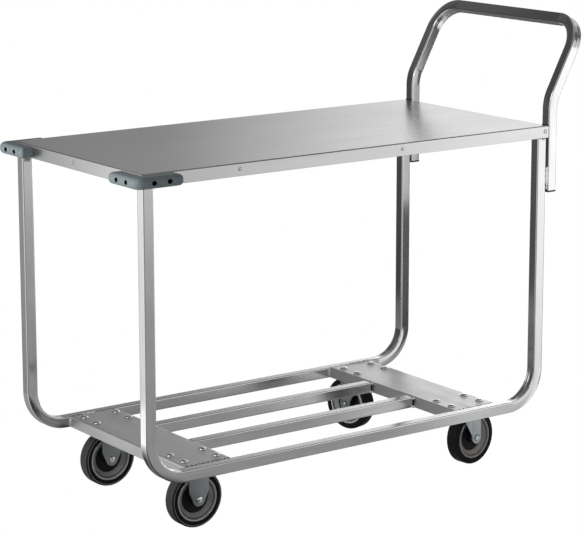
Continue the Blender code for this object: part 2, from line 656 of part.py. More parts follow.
def build_swivel_caster(label, side, turn, cart, finishes, wheel, bolt):
    """A swivelling rear caster: plate, race, kingpin, trailing fork, wheel, axle and bolts."""
    place = (REAR_PLATE_X, side * CASTER_Y, 0.0)
    pin_cutter = hole_mesh(KINGPIN_RADIUS + KINGPIN_FIT, (0, 0, CROWN_UNDERSIDE - TINY),
                           (0, 0, CASTER_TOP + TINY))
    pin_hole = put(f"pin_hole_{label}", pin_cutter, cart, place)
    name = f"swivel_plate_{label}"
    plate = put(name, finished(caster_plate_mesh(name), finishes["zinc"]), cart, place)
    combine(plate, bolt_holes(name, cart, place[0], place[1]) + [pin_hole], "DIFFERENCE")
    fit_bolts(label, bolt, cart, place[0], place[1])

    race = turned_mesh("swivel_race", race_profile(), RACE_STEPS, True)
    put(f"swivel_race_{label}", finished(race, finishes["zinc"]), cart, place)
    pin = turned_mesh("kingpin", kingpin_profile(), PIN_STEPS, False)
    put(f"kingpin_{label}", finished(pin, finishes["zinc"]), cart, place)

    swivel = put(f"swivel_{label}", None, cart, place, (0.0, 0.0, turn))
    centre = (TRAIL, 0.0, WHEEL_RADIUS)
    name = f"swivel_fork_{label}"
    crown = rod_mesh(name, CROWN_RADIUS, (0, 0, CROWN_UNDERSIDE), (0, 0, CROWN_TOP), RACE_STEPS)
    fork = put(name, finished(crown, finishes["zinc"]), swivel)
    combine(fork, leg_pair(name, fork_outline(), swivel, (0, 0, 0)), "UNION")
    combine(fork, [pin_hole, axle_hole(name, swivel, centre)], "DIFFERENCE")
    fit_wheel(label, wheel, swivel, centre)


def build_cart():
    """Builds every piece of the cart."""
    clear_scene()
    sheet = material("brushed_sheet", (0.55, 0.55, 0.54), 0.35, 1.0)
    tube = material("polished_tube", (0.62, 0.62, 0.61), 0.22, 1.0)
    plastic = material("black_plug", (0.03, 0.03, 0.03), 0.5, 0.0)
    grey = material("grey_bumper", (0.20, 0.24, 0.26), 0.5, 0.0)
    bolt_steel = material("bolt_steel", (0.60, 0.60, 0.60), 0.25, 1.0)
    finishes = {
        "zinc": material("zinc_plate", (0.42, 0.44, 0.45), 0.4, 0.9),
        "rubber": material("black_rubber", (0.03, 0.03, 0.03), 0.6, 0.0),
        "core": material("grey_core", (0.18, 0.18, 0.18), 0.5, 0.0),
        "bush": material("bronze_bush", (0.35, 0.25, 0.12), 0.4, 1.0),
    }
    wheel = wheel_meshes(finishes)
    bolt = finished(turned_mesh("bolt", bolt_profile(), PIN_STEPS, False), bolt_steel)
    cart = put("cart", None, None, (-MIDDLE_X, 0.0, 0.0))
    build_deck(cart, sheet)
    build_side_frames(cart, tube)
    build_deck_frame(cart, tube)
    build_shelf(cart, sheet, tube)
    build_handle(cart, tube, plastic)
    build_bumpers(cart, grey)
    build_rigid_caster("front_near", -1, cart, finishes, wheel, bolt)
    build_rigid_caster("front_far", 1, cart, finishes, wheel, bolt)
    build_swivel_caster("rear_near", -1, NEAR_SWIVEL, cart, finishes, wheel, bolt)
    build_swivel_caster("rear_far", 1, FAR_SWIVEL, cart, finishes, wheel, bolt)


build_cart()
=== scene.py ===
"""The stock cart as it looks: brushed and polished steel, grey rubber bumpers and black rubber tyres.

Metres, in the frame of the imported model: +X runs towards the push handle, -Y is the near side and the
floor is z = 0. Each section makes one piece, or a group of like pieces, with its size and its finish.
"""

import json
import math

import bmesh
import bpy
import numpy as np
from mathutils import Matrix, Vector


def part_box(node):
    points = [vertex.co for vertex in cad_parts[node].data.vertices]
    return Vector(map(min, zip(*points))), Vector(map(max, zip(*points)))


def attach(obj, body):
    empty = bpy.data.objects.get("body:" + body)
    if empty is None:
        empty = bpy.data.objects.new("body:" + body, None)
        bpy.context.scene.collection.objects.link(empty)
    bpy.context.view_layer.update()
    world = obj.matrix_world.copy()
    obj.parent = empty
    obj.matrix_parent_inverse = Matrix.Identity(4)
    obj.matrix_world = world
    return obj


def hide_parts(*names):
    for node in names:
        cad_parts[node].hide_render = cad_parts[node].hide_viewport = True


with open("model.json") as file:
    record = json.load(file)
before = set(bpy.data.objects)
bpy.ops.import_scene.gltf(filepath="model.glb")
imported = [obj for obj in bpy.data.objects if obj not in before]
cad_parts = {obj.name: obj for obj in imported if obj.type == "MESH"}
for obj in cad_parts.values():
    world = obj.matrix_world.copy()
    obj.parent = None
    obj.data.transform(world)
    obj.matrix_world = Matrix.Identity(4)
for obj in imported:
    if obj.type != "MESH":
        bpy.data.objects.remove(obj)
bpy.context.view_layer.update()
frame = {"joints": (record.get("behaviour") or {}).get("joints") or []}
joints = {joint["name"]: joint for joint in frame["joints"]}


# Top deck: one sheet of brushed steel. Its four edges are folded down square and closed at the corners,
# and it lies on the tubes that its folded edges hide.
DECK_SHEET = 0.0015
DECK_FOLD = 0.0034
DECK_RIM = 0.0006
DECK_REACH = 0.02  # how far in from the edges the rows of points begin
CORNER_SEAM = 0.0012
FLAT_GUARD = 0.0003  # a point this far past each fold keeps the flats flat when shaded smooth
SHARP_ANGLE = 32.0
SCUFFED_UP_TO = (0.135, 0.175)
X, Y, Z = np.eye(3)


def box_of(node_name):
    """The lowest and the highest corner of a node."""
    return [np.array(corner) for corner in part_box(node_name)]


def linked(name, data):
    """A new object in the scene."""
    made = bpy.data.objects.new(name, data)
    bpy.context.scene.collection.objects.link(made)
    return made


def surface(name, grids, rows_meet=False, sharp=SHARP_ANGLE):
    """A mesh over grids of points, each (rows, columns, 3), with a UV map in metres.

    Row i and column j begin the face (i, j), (i, j + 1), (i + 1, j + 1), (i + 1, j), and the columns
    run round to the first. The UV map holds the mean distance run from row to row and from column to
    column. Where the rows don't meet, each open end gets one flat face.
    """
    points, faces, places = [], [], []
    for grid in grids:
        rows, columns = grid.shape[:2]
        first = sum(len(done) for done in points)
        i, j = np.mgrid[:rows if rows_meet else rows - 1, :columns]
        down, across = np.stack([i, i, i + 1, i + 1], -1), np.stack([j, j + 1, j + 1, j], -1)
        faces += (first + down % rows * columns + across % columns).reshape(-1, 4).tolist()
        steps = (np.linalg.norm(np.roll(grid, -1, way) - grid, axis=2).mean(1 - way) for way in (0, 1))
        along, around = (np.concatenate([[0.0], np.cumsum(step)]) for step in steps)
        places.append(np.stack([along[down], around[across]], -1).reshape(-1, 2))
        if not rows_meet:
            ring = first + np.arange(columns)
            faces += [ring[::-1].tolist(), (ring + (rows - 1) * columns).tolist()]
            places.append(np.zeros((2 * columns, 2)))
        points.append(grid.reshape(-1, 3))
    mesh = bpy.data.meshes.new(name)
    mesh.from_pydata(np.concatenate(points).tolist(), [], faces)
    mesh.uv_layers.new(name="UVMap").data.foreach_set("uv", np.concatenate(places).ravel())
    shape = bmesh.new()
    shape.from_mesh(mesh)
    bmesh.ops.recalc_face_normals(shape, faces=shape.faces)
    shape.to_mesh(mesh)
    shape.free()
    mesh.shade_smooth()
    mesh.set_sharp_from_angle(angle=math.radians(sharp))
    return linked(name, mesh)


def add(name, grids, finish, slot, *nodes, body="frame", **how):
    """A piece with its finish, standing for the nodes it hides, on the body it rides on. slot is not used.
    """
    piece = surface(name, grids, **how)
    piece.data.materials.append(finish)
    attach(piece, body)
    if nodes:
        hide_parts(*nodes)
    return piece


def unit(vectors):
    """Directions of length one."""
    return vectors / np.linalg.norm(vectors, axis=-1, keepdims=True)


def eased(corners, radii, steps=6, guard=FLAT_GUARD):
    """A closed outline through (x, y) corners, each replaced by an arc of its own radius.

    An arc starts radius * tan(turn / 2) before its corner. One more point stands a guard's length
    before it and one after it. A radius of 0 keeps the corner itself.
    """
    corners = np.array(corners, float)
    ways, radii = unit(np.roll(corners, -1, 0) - corners), np.broadcast_to(radii, len(corners))
    parts = []
    for corner, into, out, radius in zip(corners, np.roll(ways, 1, 0), ways, radii):
        turn = math.atan2(into[0] * out[1] - into[1] * out[0], into @ out)
        if radius == 0:
            parts.append(corner[None])
            continue
        start = corner - into * radius * abs(math.tan(turn / 2))
        inward = math.copysign(1.0, turn) * np.array([-into[1], into[0]])
        angle = np.linspace(0.0, abs(turn), steps + 1)[:, None]
        arc = start + radius * (np.sin(angle) * into + (1 - np.cos(angle)) * inward)
        parts += [(start - guard * into)[None], arc, (arc[-1] + guard * out)[None]]
    return np.concatenate(parts)


def rounded_box(x, y, radius, **how):
    """A rectangle's outline about the origin, given its half sides, with its corners eased."""
    return eased([(x, -y), (x, y), (-x, y), (-x, -y)], radius, **how)


def node(tree, kind, sockets=None, **settings):
    """Adds a shader node, gives it its settings, and sets or links its named or numbered inputs."""
    made = tree.nodes.new("ShaderNode" + kind)
    for key, value in settings.items():
        setattr(made, key, value)
    for key, value in (sockets or {}).items():
        if isinstance(value, bpy.types.NodeSocket):
            tree.links.new(value, made.inputs[key])
        else:
            made.inputs[key].default_value = value
    return made


def ranged(tree, value, low, high, start=0.0, end=1.0):
    """Runs from start to end while a value runs from low to high, and stays there beyond."""
    sockets = {"Value": value, "From Min": low, "From Max": high, "To Min": start, "To Max": end}
    return node(tree, "MapRange", sockets).outputs["Result"]


def own_place(tree, axis=None):
    """The place on the piece, or its part along one axis."""
    place = node(tree, "TexCoord").outputs["Object"]
    return node(tree, "SeparateXYZ", {0: place}).outputs[axis] if axis else place


def three(value):
    """Three numbers as they are, or one number three times: a grey, or the same count each way."""
    return tuple(np.broadcast_to(value, 3).tolist())


def blend(tree, share, dark, light):
    """Runs from dark to light with a share. Each is a grey, three numbers or another node's colour."""
    dark, light = (tone if isinstance(tone, bpy.types.NodeSocket) else (*three(tone), 1.0)
                   for tone in (dark, light))
    return node(tree, "Mix", {0: share, 6: dark, 7: light}, data_type="RGBA").outputs[2]


def blank(name):
    """A new material, its node tree and its shader."""
    made = bpy.data.materials.new(name)
    made.use_nodes = True
    return made, made.node_tree, made.node_tree.nodes["Principled BSDF"]


def feed(tree, shader, *patterns):
    """Links a finish's colour, roughness and bumps to its shader."""
    for label, pattern in zip(("Base Color", "Roughness", "Normal"), patterns):
        tree.links.new(pattern, shader.inputs[label])


def rolled_grain():
    """For rolled or brushed steel: streaks drawn out along a direction, and softer clouds, from 0 to 1."""
    tree = bpy.data.node_groups.new("rolled grain", "ShaderNodeTree")
    for label in ("Vector", "Streaks", "Clouds"):
        tree.interface.new_socket(label, in_out="INPUT", socket_type="NodeSocketVector")
    for label in ("Streak", "Cloud"):
        tree.interface.new_socket(label, in_out="OUTPUT", socket_type="NodeSocketFloat")
    given, result = tree.nodes.new("NodeGroupInput").outputs, tree.nodes.new("NodeGroupOutput").inputs
    for label, count, detail in (("Streak", "Streaks", 5.0), ("Cloud", "Clouds", 3.0)):
        spread = node(tree, "VectorMath", {0: given["Vector"], 1: given[count]}, operation="MULTIPLY")
        noise = node(tree, "TexNoise", {"Vector": spread.outputs[0], "Scale": 1.0, "Detail": detail,
                                        "Roughness": 0.6})
        tree.links.new(ranged(tree, noise.outputs["Fac"], 0.3, 0.7), result[label])
    return tree


GRAIN = rolled_grain()


def steel(name, dark, light, smooth, rough, streaks, clouds, bump=1e-5, wave=0.0, map_name=None, scuff=0.0):
    """Bare or plated steel: colour and roughness run between two values with the grain and the clouds.

    streaks and clouds are how often the pattern repeats along x, y and z, in turns per metre. bump and
    wave are the heights in metres of the grain and of the clouds. With map_name the pattern follows the
    piece's own UV map, and without it the piece's place. scuff is how much rougher the steel is near
    the floor, where feet and dirt rub it.
    """
    made, tree, shader = blank(name)
    shader.inputs["Metallic"].default_value = 1.0
    place = node(tree, "UVMap", uv_map=map_name).outputs["UV"] if map_name else own_place(tree)
    counts = {"Vector": place, "Streaks": three(streaks), "Clouds": three(clouds)}
    streak, cloud = node(tree, "Group", counts, node_tree=GRAIN).outputs
    both = node(tree, "Mix", {0: 0.5, 2: streak, 3: cloud}, data_type="FLOAT").outputs[0]
    roughness = ranged(tree, both, 0.0, 1.0, rough, smooth)
    if scuff:
        rubbed = ranged(tree, own_place(tree, "Z"), *SCUFFED_UP_TO, scuff, 0.0)
        roughness = node(tree, "Math", {0: roughness, 1: rubbed}, operation="ADD").outputs[0]
    relief = {"Height": streak, "Distance": bump, "Strength": 1.0}
    normal = node(tree, "Bump", relief).outputs[0]
    if wave:
        relief |= {"Height": cloud, "Distance": wave, "Normal": normal}
        normal = node(tree, "Bump", relief).outputs[0]
    feed(tree, shader, blend(tree, both, dark, light), roughness, normal)
    return made


def folded_pan(low, high, steps=6):
    """A sheet with its four edges folded down. Rows run from the middle of the top over the fold, down
    the side, round its lower edge and back under the top; columns run round the rectangle. A row is a
    rectangle with rounded corners, inset from the outside by its own distance."""
    fold, sheet, rim, foot, top = DECK_FOLD, DECK_SHEET, DECK_RIM, low[2], high[2]
    bend = np.linspace(0.0, np.pi / 2, steps + 1)
    outer, inner = (np.stack([fold - radius * np.sin(bend), top - fold + radius * np.cos(bend)], -1)
                    for radius in (fold, fold - sheet))
    rows = np.concatenate([
        [(DECK_REACH, top), (fold + FLAT_GUARD, top)], outer,
        [(0.0, top - fold - FLAT_GUARD), (0.0, foot + 1.5 * rim), (0.0, foot + rim),
         (rim / 3, foot + rim / 3), (rim, foot), (sheet - rim, foot), (sheet - rim / 3, foot + rim / 3),
         (sheet, foot + rim), (sheet, top - fold - FLAT_GUARD)], inner[::-1],
        [(fold + FLAT_GUARD, top - sheet), (DECK_REACH, top - sheet)]])
    middle, half = (low + high) / 2, (high - low) / 2
    rings = []
    for inset, z in rows:
        ring = rounded_box(*(half[:2] - inset), max(CORNER_SEAM - inset, 0.0001), steps=3)
        rings.append(np.c_[ring + middle[:2], np.full(len(ring), z)])
    return np.array(rings)


deck_low, deck_high = box_of("top_deck")
deck_finish = steel("brushed deck steel", 0.57, 0.64, 0.245, 0.295, (3.0, 240.0, 240.0), (2.0, 8.0, 8.0),
                    3.5e-6)
add("deck_pan", [folded_pan(deck_low, deck_high)], deck_finish, "deck_sheet", "top_deck")


# Deck rivets: low domed heads along the folded edges, three to a long side and one in the middle of each
# end. They hold the sheet to the tubes and braces behind it.
RIVET_RADIUS = 0.0034
LAST_RIVET_RADIUS = RIVET_RADIUS * 1.3
RIVET_HEIGHT = 0.0013
RIVET_BRIM = 0.0003
RIVET_DROP = 0.013
RIVETS_ALONG = (-0.352, 0.075, 0.488)
END_RIVET_Y = 0.0075
# width of the painted contact shadow round each round head
SHADOW_RING_WIDTH = 0.0005


def square_to(axis):
    """Two directions square to an axis and to each other."""
    first = unit(np.cross(axis, Z if abs(axis[2]) < 0.9 else Y))
    return first, np.cross(axis, first)


def turned(profile, centre, axis, steps):
    """A profile of (radius, distance along the axis) points turned about an axis, as a grid.

    A point is centre + distance * axis + radius * (cos t * first + sin t * second), where first and
    second are square to the axis and to each other."""
    first, second = square_to(axis)
    profile = np.array(profile)
    angle = np.linspace(0.0, 2 * np.pi, steps, endpoint=False)[:, None]
    ring = np.cos(angle) * first + np.sin(angle) * second
    return np.array(centre) + profile[:, None, 1:] * axis + profile[:, None, :1] * ring


def dome(radius, height, brim, steps=8, base=0.0, edge=90.0):
    """The profile of a round head: a short straight brim, then an arc up to its top. At the angle a the
    arc is at radius * sin a / sin edge, and (cos a - cos edge) / (1 - cos edge) of its height up."""
    angle, edge = np.linspace(math.radians(edge), 0.0, steps + 1)[:-1], math.radians(edge)
    rim = [(0.0001, base), (radius - 0.0002, base), (radius, base + 0.0002)]
    rise = (np.cos(angle) - math.cos(edge)) / (1 - math.cos(edge))
    cap = np.stack([radius * np.sin(angle) / math.sin(edge), base + brim + (height - brim) * rise], -1)
    return np.concatenate([rim, cap, [(radius * 0.01, base + height)]])


def shadow_ring(radius, spot, way, width=SHADOW_RING_WIDTH):
    """A thin dark ring where a round head sits on a face: a painted contact shadow."""
    inner, outer = radius - 0.0004, radius + width
    return turned([(inner, 0.0), (outer, 0.0), (outer, 0.00012), (inner, 0.0002)], spot, way, 32)


rivet_finish = steel("bright rivet steel", 0.42, 0.56, 0.16, 0.24, 300.0, 80.0)
# Near-black steel for painted shade (shadow rings, shade lines, the rail-end gaps) and for the dark weld
# seams along the shelf plates.
shade_and_seam_finish = steel("painted shade and dark seam line", 0.03, 0.09, 0.4, 0.6, 300.0, 90.0)
rivet_z = deck_high[2] - RIVET_DROP
rivets = [((x, y, rivet_z), way, LAST_RIVET_RADIUS if x == RIVETS_ALONG[-1] else RIVET_RADIUS)
          for y, way in ((deck_low[1], -Y), (deck_high[1], Y)) for x in RIVETS_ALONG]
rivets += [((x, END_RIVET_Y, rivet_z), way, RIVET_RADIUS)
           for x, way in ((deck_low[0], -X), (deck_high[0], X))]
heads = [turned(dome(radius, RIVET_HEIGHT, RIVET_BRIM), spot, way, 24) for spot, way, radius in rivets]
add("deck_rivets", heads, rivet_finish, "bolt_steel")
# Painted contact shadow: a thin dark ring round each rivet head.
shadow_rings = [shadow_ring(radius, spot, way) for spot, way, radius in rivets]
add("rivet_shadow_rings", shadow_rings, shade_and_seam_finish, "bolt_steel", rows_meet=True)


# Side frames: each is one length of square steel tube, bent cold into a leg, a lower rail and a leg. The
# bender draws the tube's outer wall in and dents its inner wall, which shows as streaks in the bends.
frame_low, frame_high = box_of("side_frame_near")
TUBE = frame_high[1] - frame_low[1]
TUBE_CORNER = 0.0028
TUBE_GUARD = 0.0005
LEG_BEND = 0.0825
BEND_STEPS = 24
BEND_GUARD = 0.001  # one more station stands this far before and after a bend
INNER_DENT = 0.0022
OUTER_DENT = 0.0012
SIDE_SWELL = 0.0017
CREASE = 0.16
FULL_BEND = 1.5  # a bend of this many radians or more is dented in full
SIDE_Y = -(frame_low[1] + frame_high[1]) / 2
LEG_X = (frame_low[0] + TUBE / 2, frame_high[0] - TUBE / 2)
RAIL_Z = frame_low[2] + TUBE / 2


def bent_tube(corners, side, radius):
    """A square tube through corner points, as a grid.

    Between corners the line is straight. At a corner it follows an arc of the radius, whose point at the
    angle t is start + radius * (sin t * forward + (1 - cos t) * inward). The section is a rounded square
    of the tube's side. In a bend its inner wall is dented, its outer wall drawn in and its sides swollen
    by a share that grows as the sine of the way through the bend, and less in a slight bend. Both walls
    are creased lengthways as the cosine of the place across them.
    """
    square = rounded_box(TUBE / 2, TUBE / 2, TUBE_CORNER, guard=TUBE_GUARD)
    square = np.concatenate([np.linspace(a, b, 13)[:-1] if np.linalg.norm(b - a) > TUBE / 3 else a[None]
                             for a, b in zip(square, np.roll(square, -1, 0))])
    corners = np.array(corners, float)
    ways, radii = unit(np.diff(corners, axis=0)), np.broadcast_to(radius, len(corners))[1:-1]
    stations = [(corners[0], ways[0], side, np.zeros(3), 0.0)]
    for corner, bend, forward, out in zip(corners[1:-1], radii, ways, ways[1:]):
        turn = math.acos(forward @ out)
        start = corner - forward * bend * math.tan(turn / 2)
        inward = (out - forward * math.cos(turn)) / math.sin(turn)
        axis = np.cross(forward, inward)
        stations.append((start - forward * BEND_GUARD, forward, side, inward, 0.0))
        for t in np.linspace(0.0, turn, BEND_STEPS + 1):
            ahead = math.cos(t) * forward + math.sin(t) * inward
            toward = math.cos(t) * inward - math.sin(t) * forward
            middle = start + bend * (math.sin(t) * forward + (1 - math.cos(t)) * inward)
            swung = (side @ axis) * axis + (side @ inward) * toward + (side @ forward) * ahead
            share = abs(math.sin(math.pi * t / turn)) ** 0.7 * min(1.0, turn / FULL_BEND) ** 1.5
            stations.append((middle, ahead, swung, toward, share))
        side = swung
        stations.append((middle + ahead * BEND_GUARD, ahead, side, toward, 0.0))
    stations.append((corners[-1], ways[-1], side, np.zeros(3), 0.0))
    middle, ahead, side, toward, share = (np.array(column) for column in zip(*stations))
    across = np.cross(ahead, side)
    offset = square[None, :, :1] * side[:, None] + square[None, :, 1:] * across[:, None]
    depth = np.einsum("ijk,ik->ij", offset, toward) / (TUBE / 2)
    sideways = offset - depth[..., None] * toward[:, None] * TUBE / 2
    reach = np.linalg.norm(sideways, axis=2)
    width = reach / (TUBE / 2)
    hollow = np.clip(1 - width ** 2, 0.0, 1.0) * share[:, None] * (1 + CREASE * np.cos(3 * np.pi * width))
    moved = hollow * np.where(depth > 0, -INNER_DENT * depth ** 4, OUTER_DENT * depth ** 4)
    swell = SIDE_SWELL * share[:, None] * np.clip(1 - depth ** 2, 0.0, 1.0)
    outward = sideways / np.maximum(reach, 1e-9)[..., None]
    return middle[:, None] + offset + moved[..., None] * toward[:, None] + swell[..., None] * outward


tube_finish = steel("polished tube steel", 0.60, 0.70, 0.09, 0.16, (5.0, 220.0, 1.0), (14.0, 60.0, 1.0),
                    6e-6, 1.5e-5, "UVMap", 0.1)
for label, y in (("near", -SIDE_Y), ("far", SIDE_Y)):
    half_line = [(LEG_X[0], y, frame_high[2]), (LEG_X[0], y, RAIL_Z)]
    line = half_line + [(LEG_X[1], y, z) for _, _, z in half_line[::-1]]
    add(f"{label}_side_tube", [bent_tube(line, Y, LEG_BEND)], tube_finish, "frame_tube",
        f"side_frame_{label}")


# Frame under the deck: straight lengths of the same tube behind the folded edges, welded to the tops of
# the legs, and two folded braces across the deck, riveted to its edges.
BRACE_SHEET = 0.0015
BRACE_FOLD = 0.0022
SHEET_EDGE = 0.0004
CHANNEL_GUARD = 0.001
plate_finish = steel("rolled plate steel", 0.57, 0.69, 0.42, 0.54, (80.0, 2.5, 80.0), (14.0, 8.0, 14.0),
                     2e-5)


def straight_tube(name, node_name, axis, short=0.0):
    """Adds a length of the square tube in the place of a node, run along one axis of the frame. Its far
    end stops short by a length."""
    low, high = box_of(node_name)
    start, end = (low + high) / 2, (low + high) / 2
    start[axis], end[axis] = low[axis], high[axis] - short
    add(name, [bent_tube([start, end], X if axis else Y, 0.0)], tube_finish, "frame_tube", node_name)


def channel(name, node_name, sheet, fold, slot):
    """Adds a sheet folded down along both edges in the place of a node, run along Y. Its section is the
    folded outline with the outer radius on the outside of each fold and the rest on the inside."""
    low, high = box_of(node_name)
    left, right, foot, top = low[0], high[0], low[2], high[2]
    edge, inner = SHEET_EDGE, fold - sheet
    section = eased([(left, foot), (left + sheet, foot), (left + sheet, top - sheet),
                     (right - sheet, top - sheet), (right - sheet, foot), (right, foot), (right, top),
                     (left, top)], [edge, edge, inner, inner, edge, edge, fold, fold])
    ends = [low[1], low[1] + CHANNEL_GUARD, high[1] - CHANNEL_GUARD, high[1]]
    rows = np.array([np.insert(section, 1, y, axis=1) for y in ends])
    add(name, [rows], plate_finish, slot, node_name)


for label in ("near", "far"):
    straight_tube(f"deck_{label}_tube", f"deck_rail_{label}", 0)
for label in ("front", "rear"):
    straight_tube(f"deck_{label}_tube", f"deck_cross_{label}", 1)
    channel(f"deck_{label}_channel", f"deck_brace_{label}", BRACE_SHEET, BRACE_FOLD, "deck_sheet")


# Lower shelf: two plates folded down along both edges carry the casters, and two lengths of the square
# tube run between them. The plates are rolled steel with their grain across the cart.
PLATE_SHEET = 0.003
PLATE_FOLD = 0.0042
RAIL_GAP = 0.0050  # the inner rails stop this far short of the rear plate, and only tacks bridge it
for label in ("front", "rear"):
    channel(f"shelf_{label}_plate", f"cross_plate_{label}", PLATE_SHEET, PLATE_FOLD, "shelf_sheet")
for label in ("near", "far"):
    straight_tube(f"shelf_{label}_tube", f"inner_rail_{label}", 0, RAIL_GAP)


# Push handle: one length of the same tube, plated bright. It stands behind the rear legs, leans back
# above the deck and crosses over at the top, and black plastic plugs close its two feet.
HANDLE_GAP = 0.0003
HANDLE_KNEE_RISE = 0.055
HANDLE_TOP_BEND = 0.0675
BAR_X, BAR_Z = 0.604992, 1.019847
PLUG_CAP = 0.004
PLUG_EDGE = 0.001
plug_foot = box_of("handle_plug_near")[0][2]
handle_x = deck_high[0] + HANDLE_GAP + TUBE / 2
handle_y = deck_high[1] - TUBE / 2
handle_finish = steel("bright handle steel", 0.60, 0.70, 0.07, 0.14, (5.0, 220.0, 1.0), (12.0, 50.0, 1.0),
                      6e-6, 2e-5, "UVMap")
half_line = [(handle_x, plug_foot + PLUG_CAP), (handle_x, deck_high[2] + HANDLE_KNEE_RISE), (BAR_X, BAR_Z)]
line = [(x, -handle_y, z) for x, z in half_line] + [(x, handle_y, z) for x, z in half_line[::-1]]
bends = (0, LEG_BEND, HANDLE_TOP_BEND, HANDLE_TOP_BEND, LEG_BEND, 0)
add("handle_tube", [bent_tube(line, Y, bends)], handle_finish, "handle_tube", "push_handle")


def pressed(outlines, place, thickness, edge, across=X, up=Y, depth=Z, steps=3):
    """A flat piece with both its rims rounded, as a grid. outlines(inset) gives its outline, drawn in by
    a distance, in the plane of across and up. Each rim is a quarter circle of the radius edge: at the
    angle a it is drawn in by edge * (1 - sin a) at a depth of edge * (1 - cos a)."""
    angle = np.linspace(0.0, np.pi / 2, steps + 1)
    inset, level = edge * (1 - np.sin(angle)), edge * (1 - np.cos(angle))
    level = np.concatenate([level, thickness - level[::-1]])[:, None, None]
    flat = np.array([outlines(distance) for distance in np.concatenate([inset, inset[::-1]])])
    return np.array(place) + flat[..., :1] * across + flat[..., 1:] * up + level * depth


def plug_outline(inset):
    """The tube's own rounded square, drawn in."""
    half = TUBE / 2 - inset
    return rounded_box(half, half, max(TUBE_CORNER - inset, 0.0005))


def moulded(name, colour, roughness, speckle, gloss, spread=0.12):
    """Moulded rubber or plastic: an even colour with faint clouds, and a fine pebbled skin.

    speckle is how many grains of the skin stand in a metre, gloss the specular level, and spread how
    far the tone wanders."""
    made, tree, shader = blank(name)
    shader.inputs["Specular IOR Level"].default_value = gloss
    noise = {"Vector": own_place(tree), "Scale": 35.0, "Detail": 4.0}
    clouds = node(tree, "TexNoise", noise).outputs["Fac"]
    grains = node(tree, "TexNoise", noise | {"Scale": speckle, "Detail": 2.0}).outputs["Fac"]
    tone = blend(tree, clouds, np.multiply(colour, 1 - spread), np.multiply(colour, 1 + spread))
    polish = ranged(tree, clouds, 0.3, 0.7, roughness * 0.85, roughness * 1.15)
    skin = node(tree, "Bump", {"Height": grains, "Distance": 0.00006, "Strength": 1.0})
    feed(tree, shader, tone, polish, skin.outputs[0])
    return made


plug_finish = moulded("black plug plastic", 0.02, 0.45, 1500.0, 0.3)
for label, y in (("near", -handle_y), ("far", handle_y)):
    cap = pressed(plug_outline, (handle_x, y, plug_foot), PLUG_CAP, PLUG_EDGE)
    add(f"handle_{label}_plug", [cap], plug_finish, "plug_plastic", f"handle_plug_{label}")


# Welds: the shelf plates are welded along both side rails, tacks hold the inner rails to the rear plate,
# and short runs join the handle to the rear legs and the legs to the deck's folded edge.
WELD_SHARP = 80.0
GAP_WELD_Z = (0.657, 0.697)
GAP_WELDS = ((0.2600, 0.0052), (0.2535, 0.0036), (0.2485, 0.0036), (0.2400, 0.0052))  # (y, radius)
BRIGHT_FROM_Y = 0.256
LEG_TOP_WELDS = ((0.0075, 0.0030), (0.0125, 0.0038))  # (drop below the deck's edge, radius)
# size of the dark block of painted shade in each rail-end gap
GAP_SHADE_INSET = 0.0008
GAP_SHADE_EDGE = 0.0003
front_low, front_high = box_of("cross_plate_front")
rear_low, rear_high = box_of("cross_plate_rear")
inner_low, inner_high = box_of("inner_rail_near")
leg_front, leg_back, deck_foot = frame_low[0], frame_high[0], deck_low[2]
gap_x = (leg_back + handle_x - TUBE / 2) / 2


def bead(runs, x, y, z, radius, pitch=0.0042, sway=0.0007, notch=0.3, flat=1.0):
    """Adds a weld run to a list of runs, as a grid. Each of x, y and z is one number, or a pair for the
    start and the end. The run's radius falls by the share notch as |sin(pi * s / pitch)| with the
    distance s along it, it wanders to both sides by two slower sines, and both its ends are rounded."""
    start, end = np.array([np.broadcast_to(place, 2) for place in (x, y, z)]).T
    length = np.linalg.norm(end - start)
    axis = (end - start) / length
    first, second = square_to(axis)
    s = np.linspace(0.0, length, max(14, int(length / 0.0006)))[:, None]
    swell = radius * (1 - notch + notch * np.abs(np.sin(np.pi * s / pitch)))
    ends = np.sqrt(np.clip(np.minimum(s, length - s) / radius, 0.01, 1.0))
    middle = start + s * axis + sway * (np.sin(900 * s + 7 * start[0]) * first + np.sin(1370 * s) * second)
    angle = np.linspace(0.0, 2 * np.pi, 12, endpoint=False)[:, None]
    ring = np.cos(angle) * first + flat * np.sin(angle) * second
    runs.append(middle[:, None] + (swell * ends)[..., None] * ring)


# The dark lines hold the weld seams along the shelf plates and, further down, lines of painted shade in gaps
# and under edges.
seams_and_shade_lines, beads, gap_shade, tacks = [], [], [], []
for low, high, radius in ((front_low, front_high, 0.0017), (rear_low, rear_high, 0.0010)):
    for y in (low[1], high[1]):
        bead(seams_and_shade_lines, (low[0] + 0.003, high[0] - 0.004), y, high[2] - 0.0009, radius, 0.0105, 0.0009, 0.85)
        bead(beads, low[0] - 0.0006, y, (low[2] + 0.002, high[2] - 0.003), 0.0030)
    bead(tacks, (low[0] + 0.030, low[0] + 0.062), high[1], high[2] - 0.0002, 0.0022, notch=0.6)
bead(beads, (front_low[0] - 0.0015, front_low[0] + 0.0025), (front_high[1], front_high[1] + 0.001),
     (front_low[2] + 0.004, front_high[2] - 0.001), 0.0052, 0.005, 0.0012)
bead(beads, (rear_high[0] - 0.060, rear_high[0]), rear_high[1], rear_high[2], 0.0022, 0.006, 0.0014)
bead(tacks, rear_low[0] - 0.0035, rear_high[1] - 0.001, (rear_low[2] + 0.004, rear_high[2] - 0.002),
     0.0034, 0.0085, 0.001, 0.6)
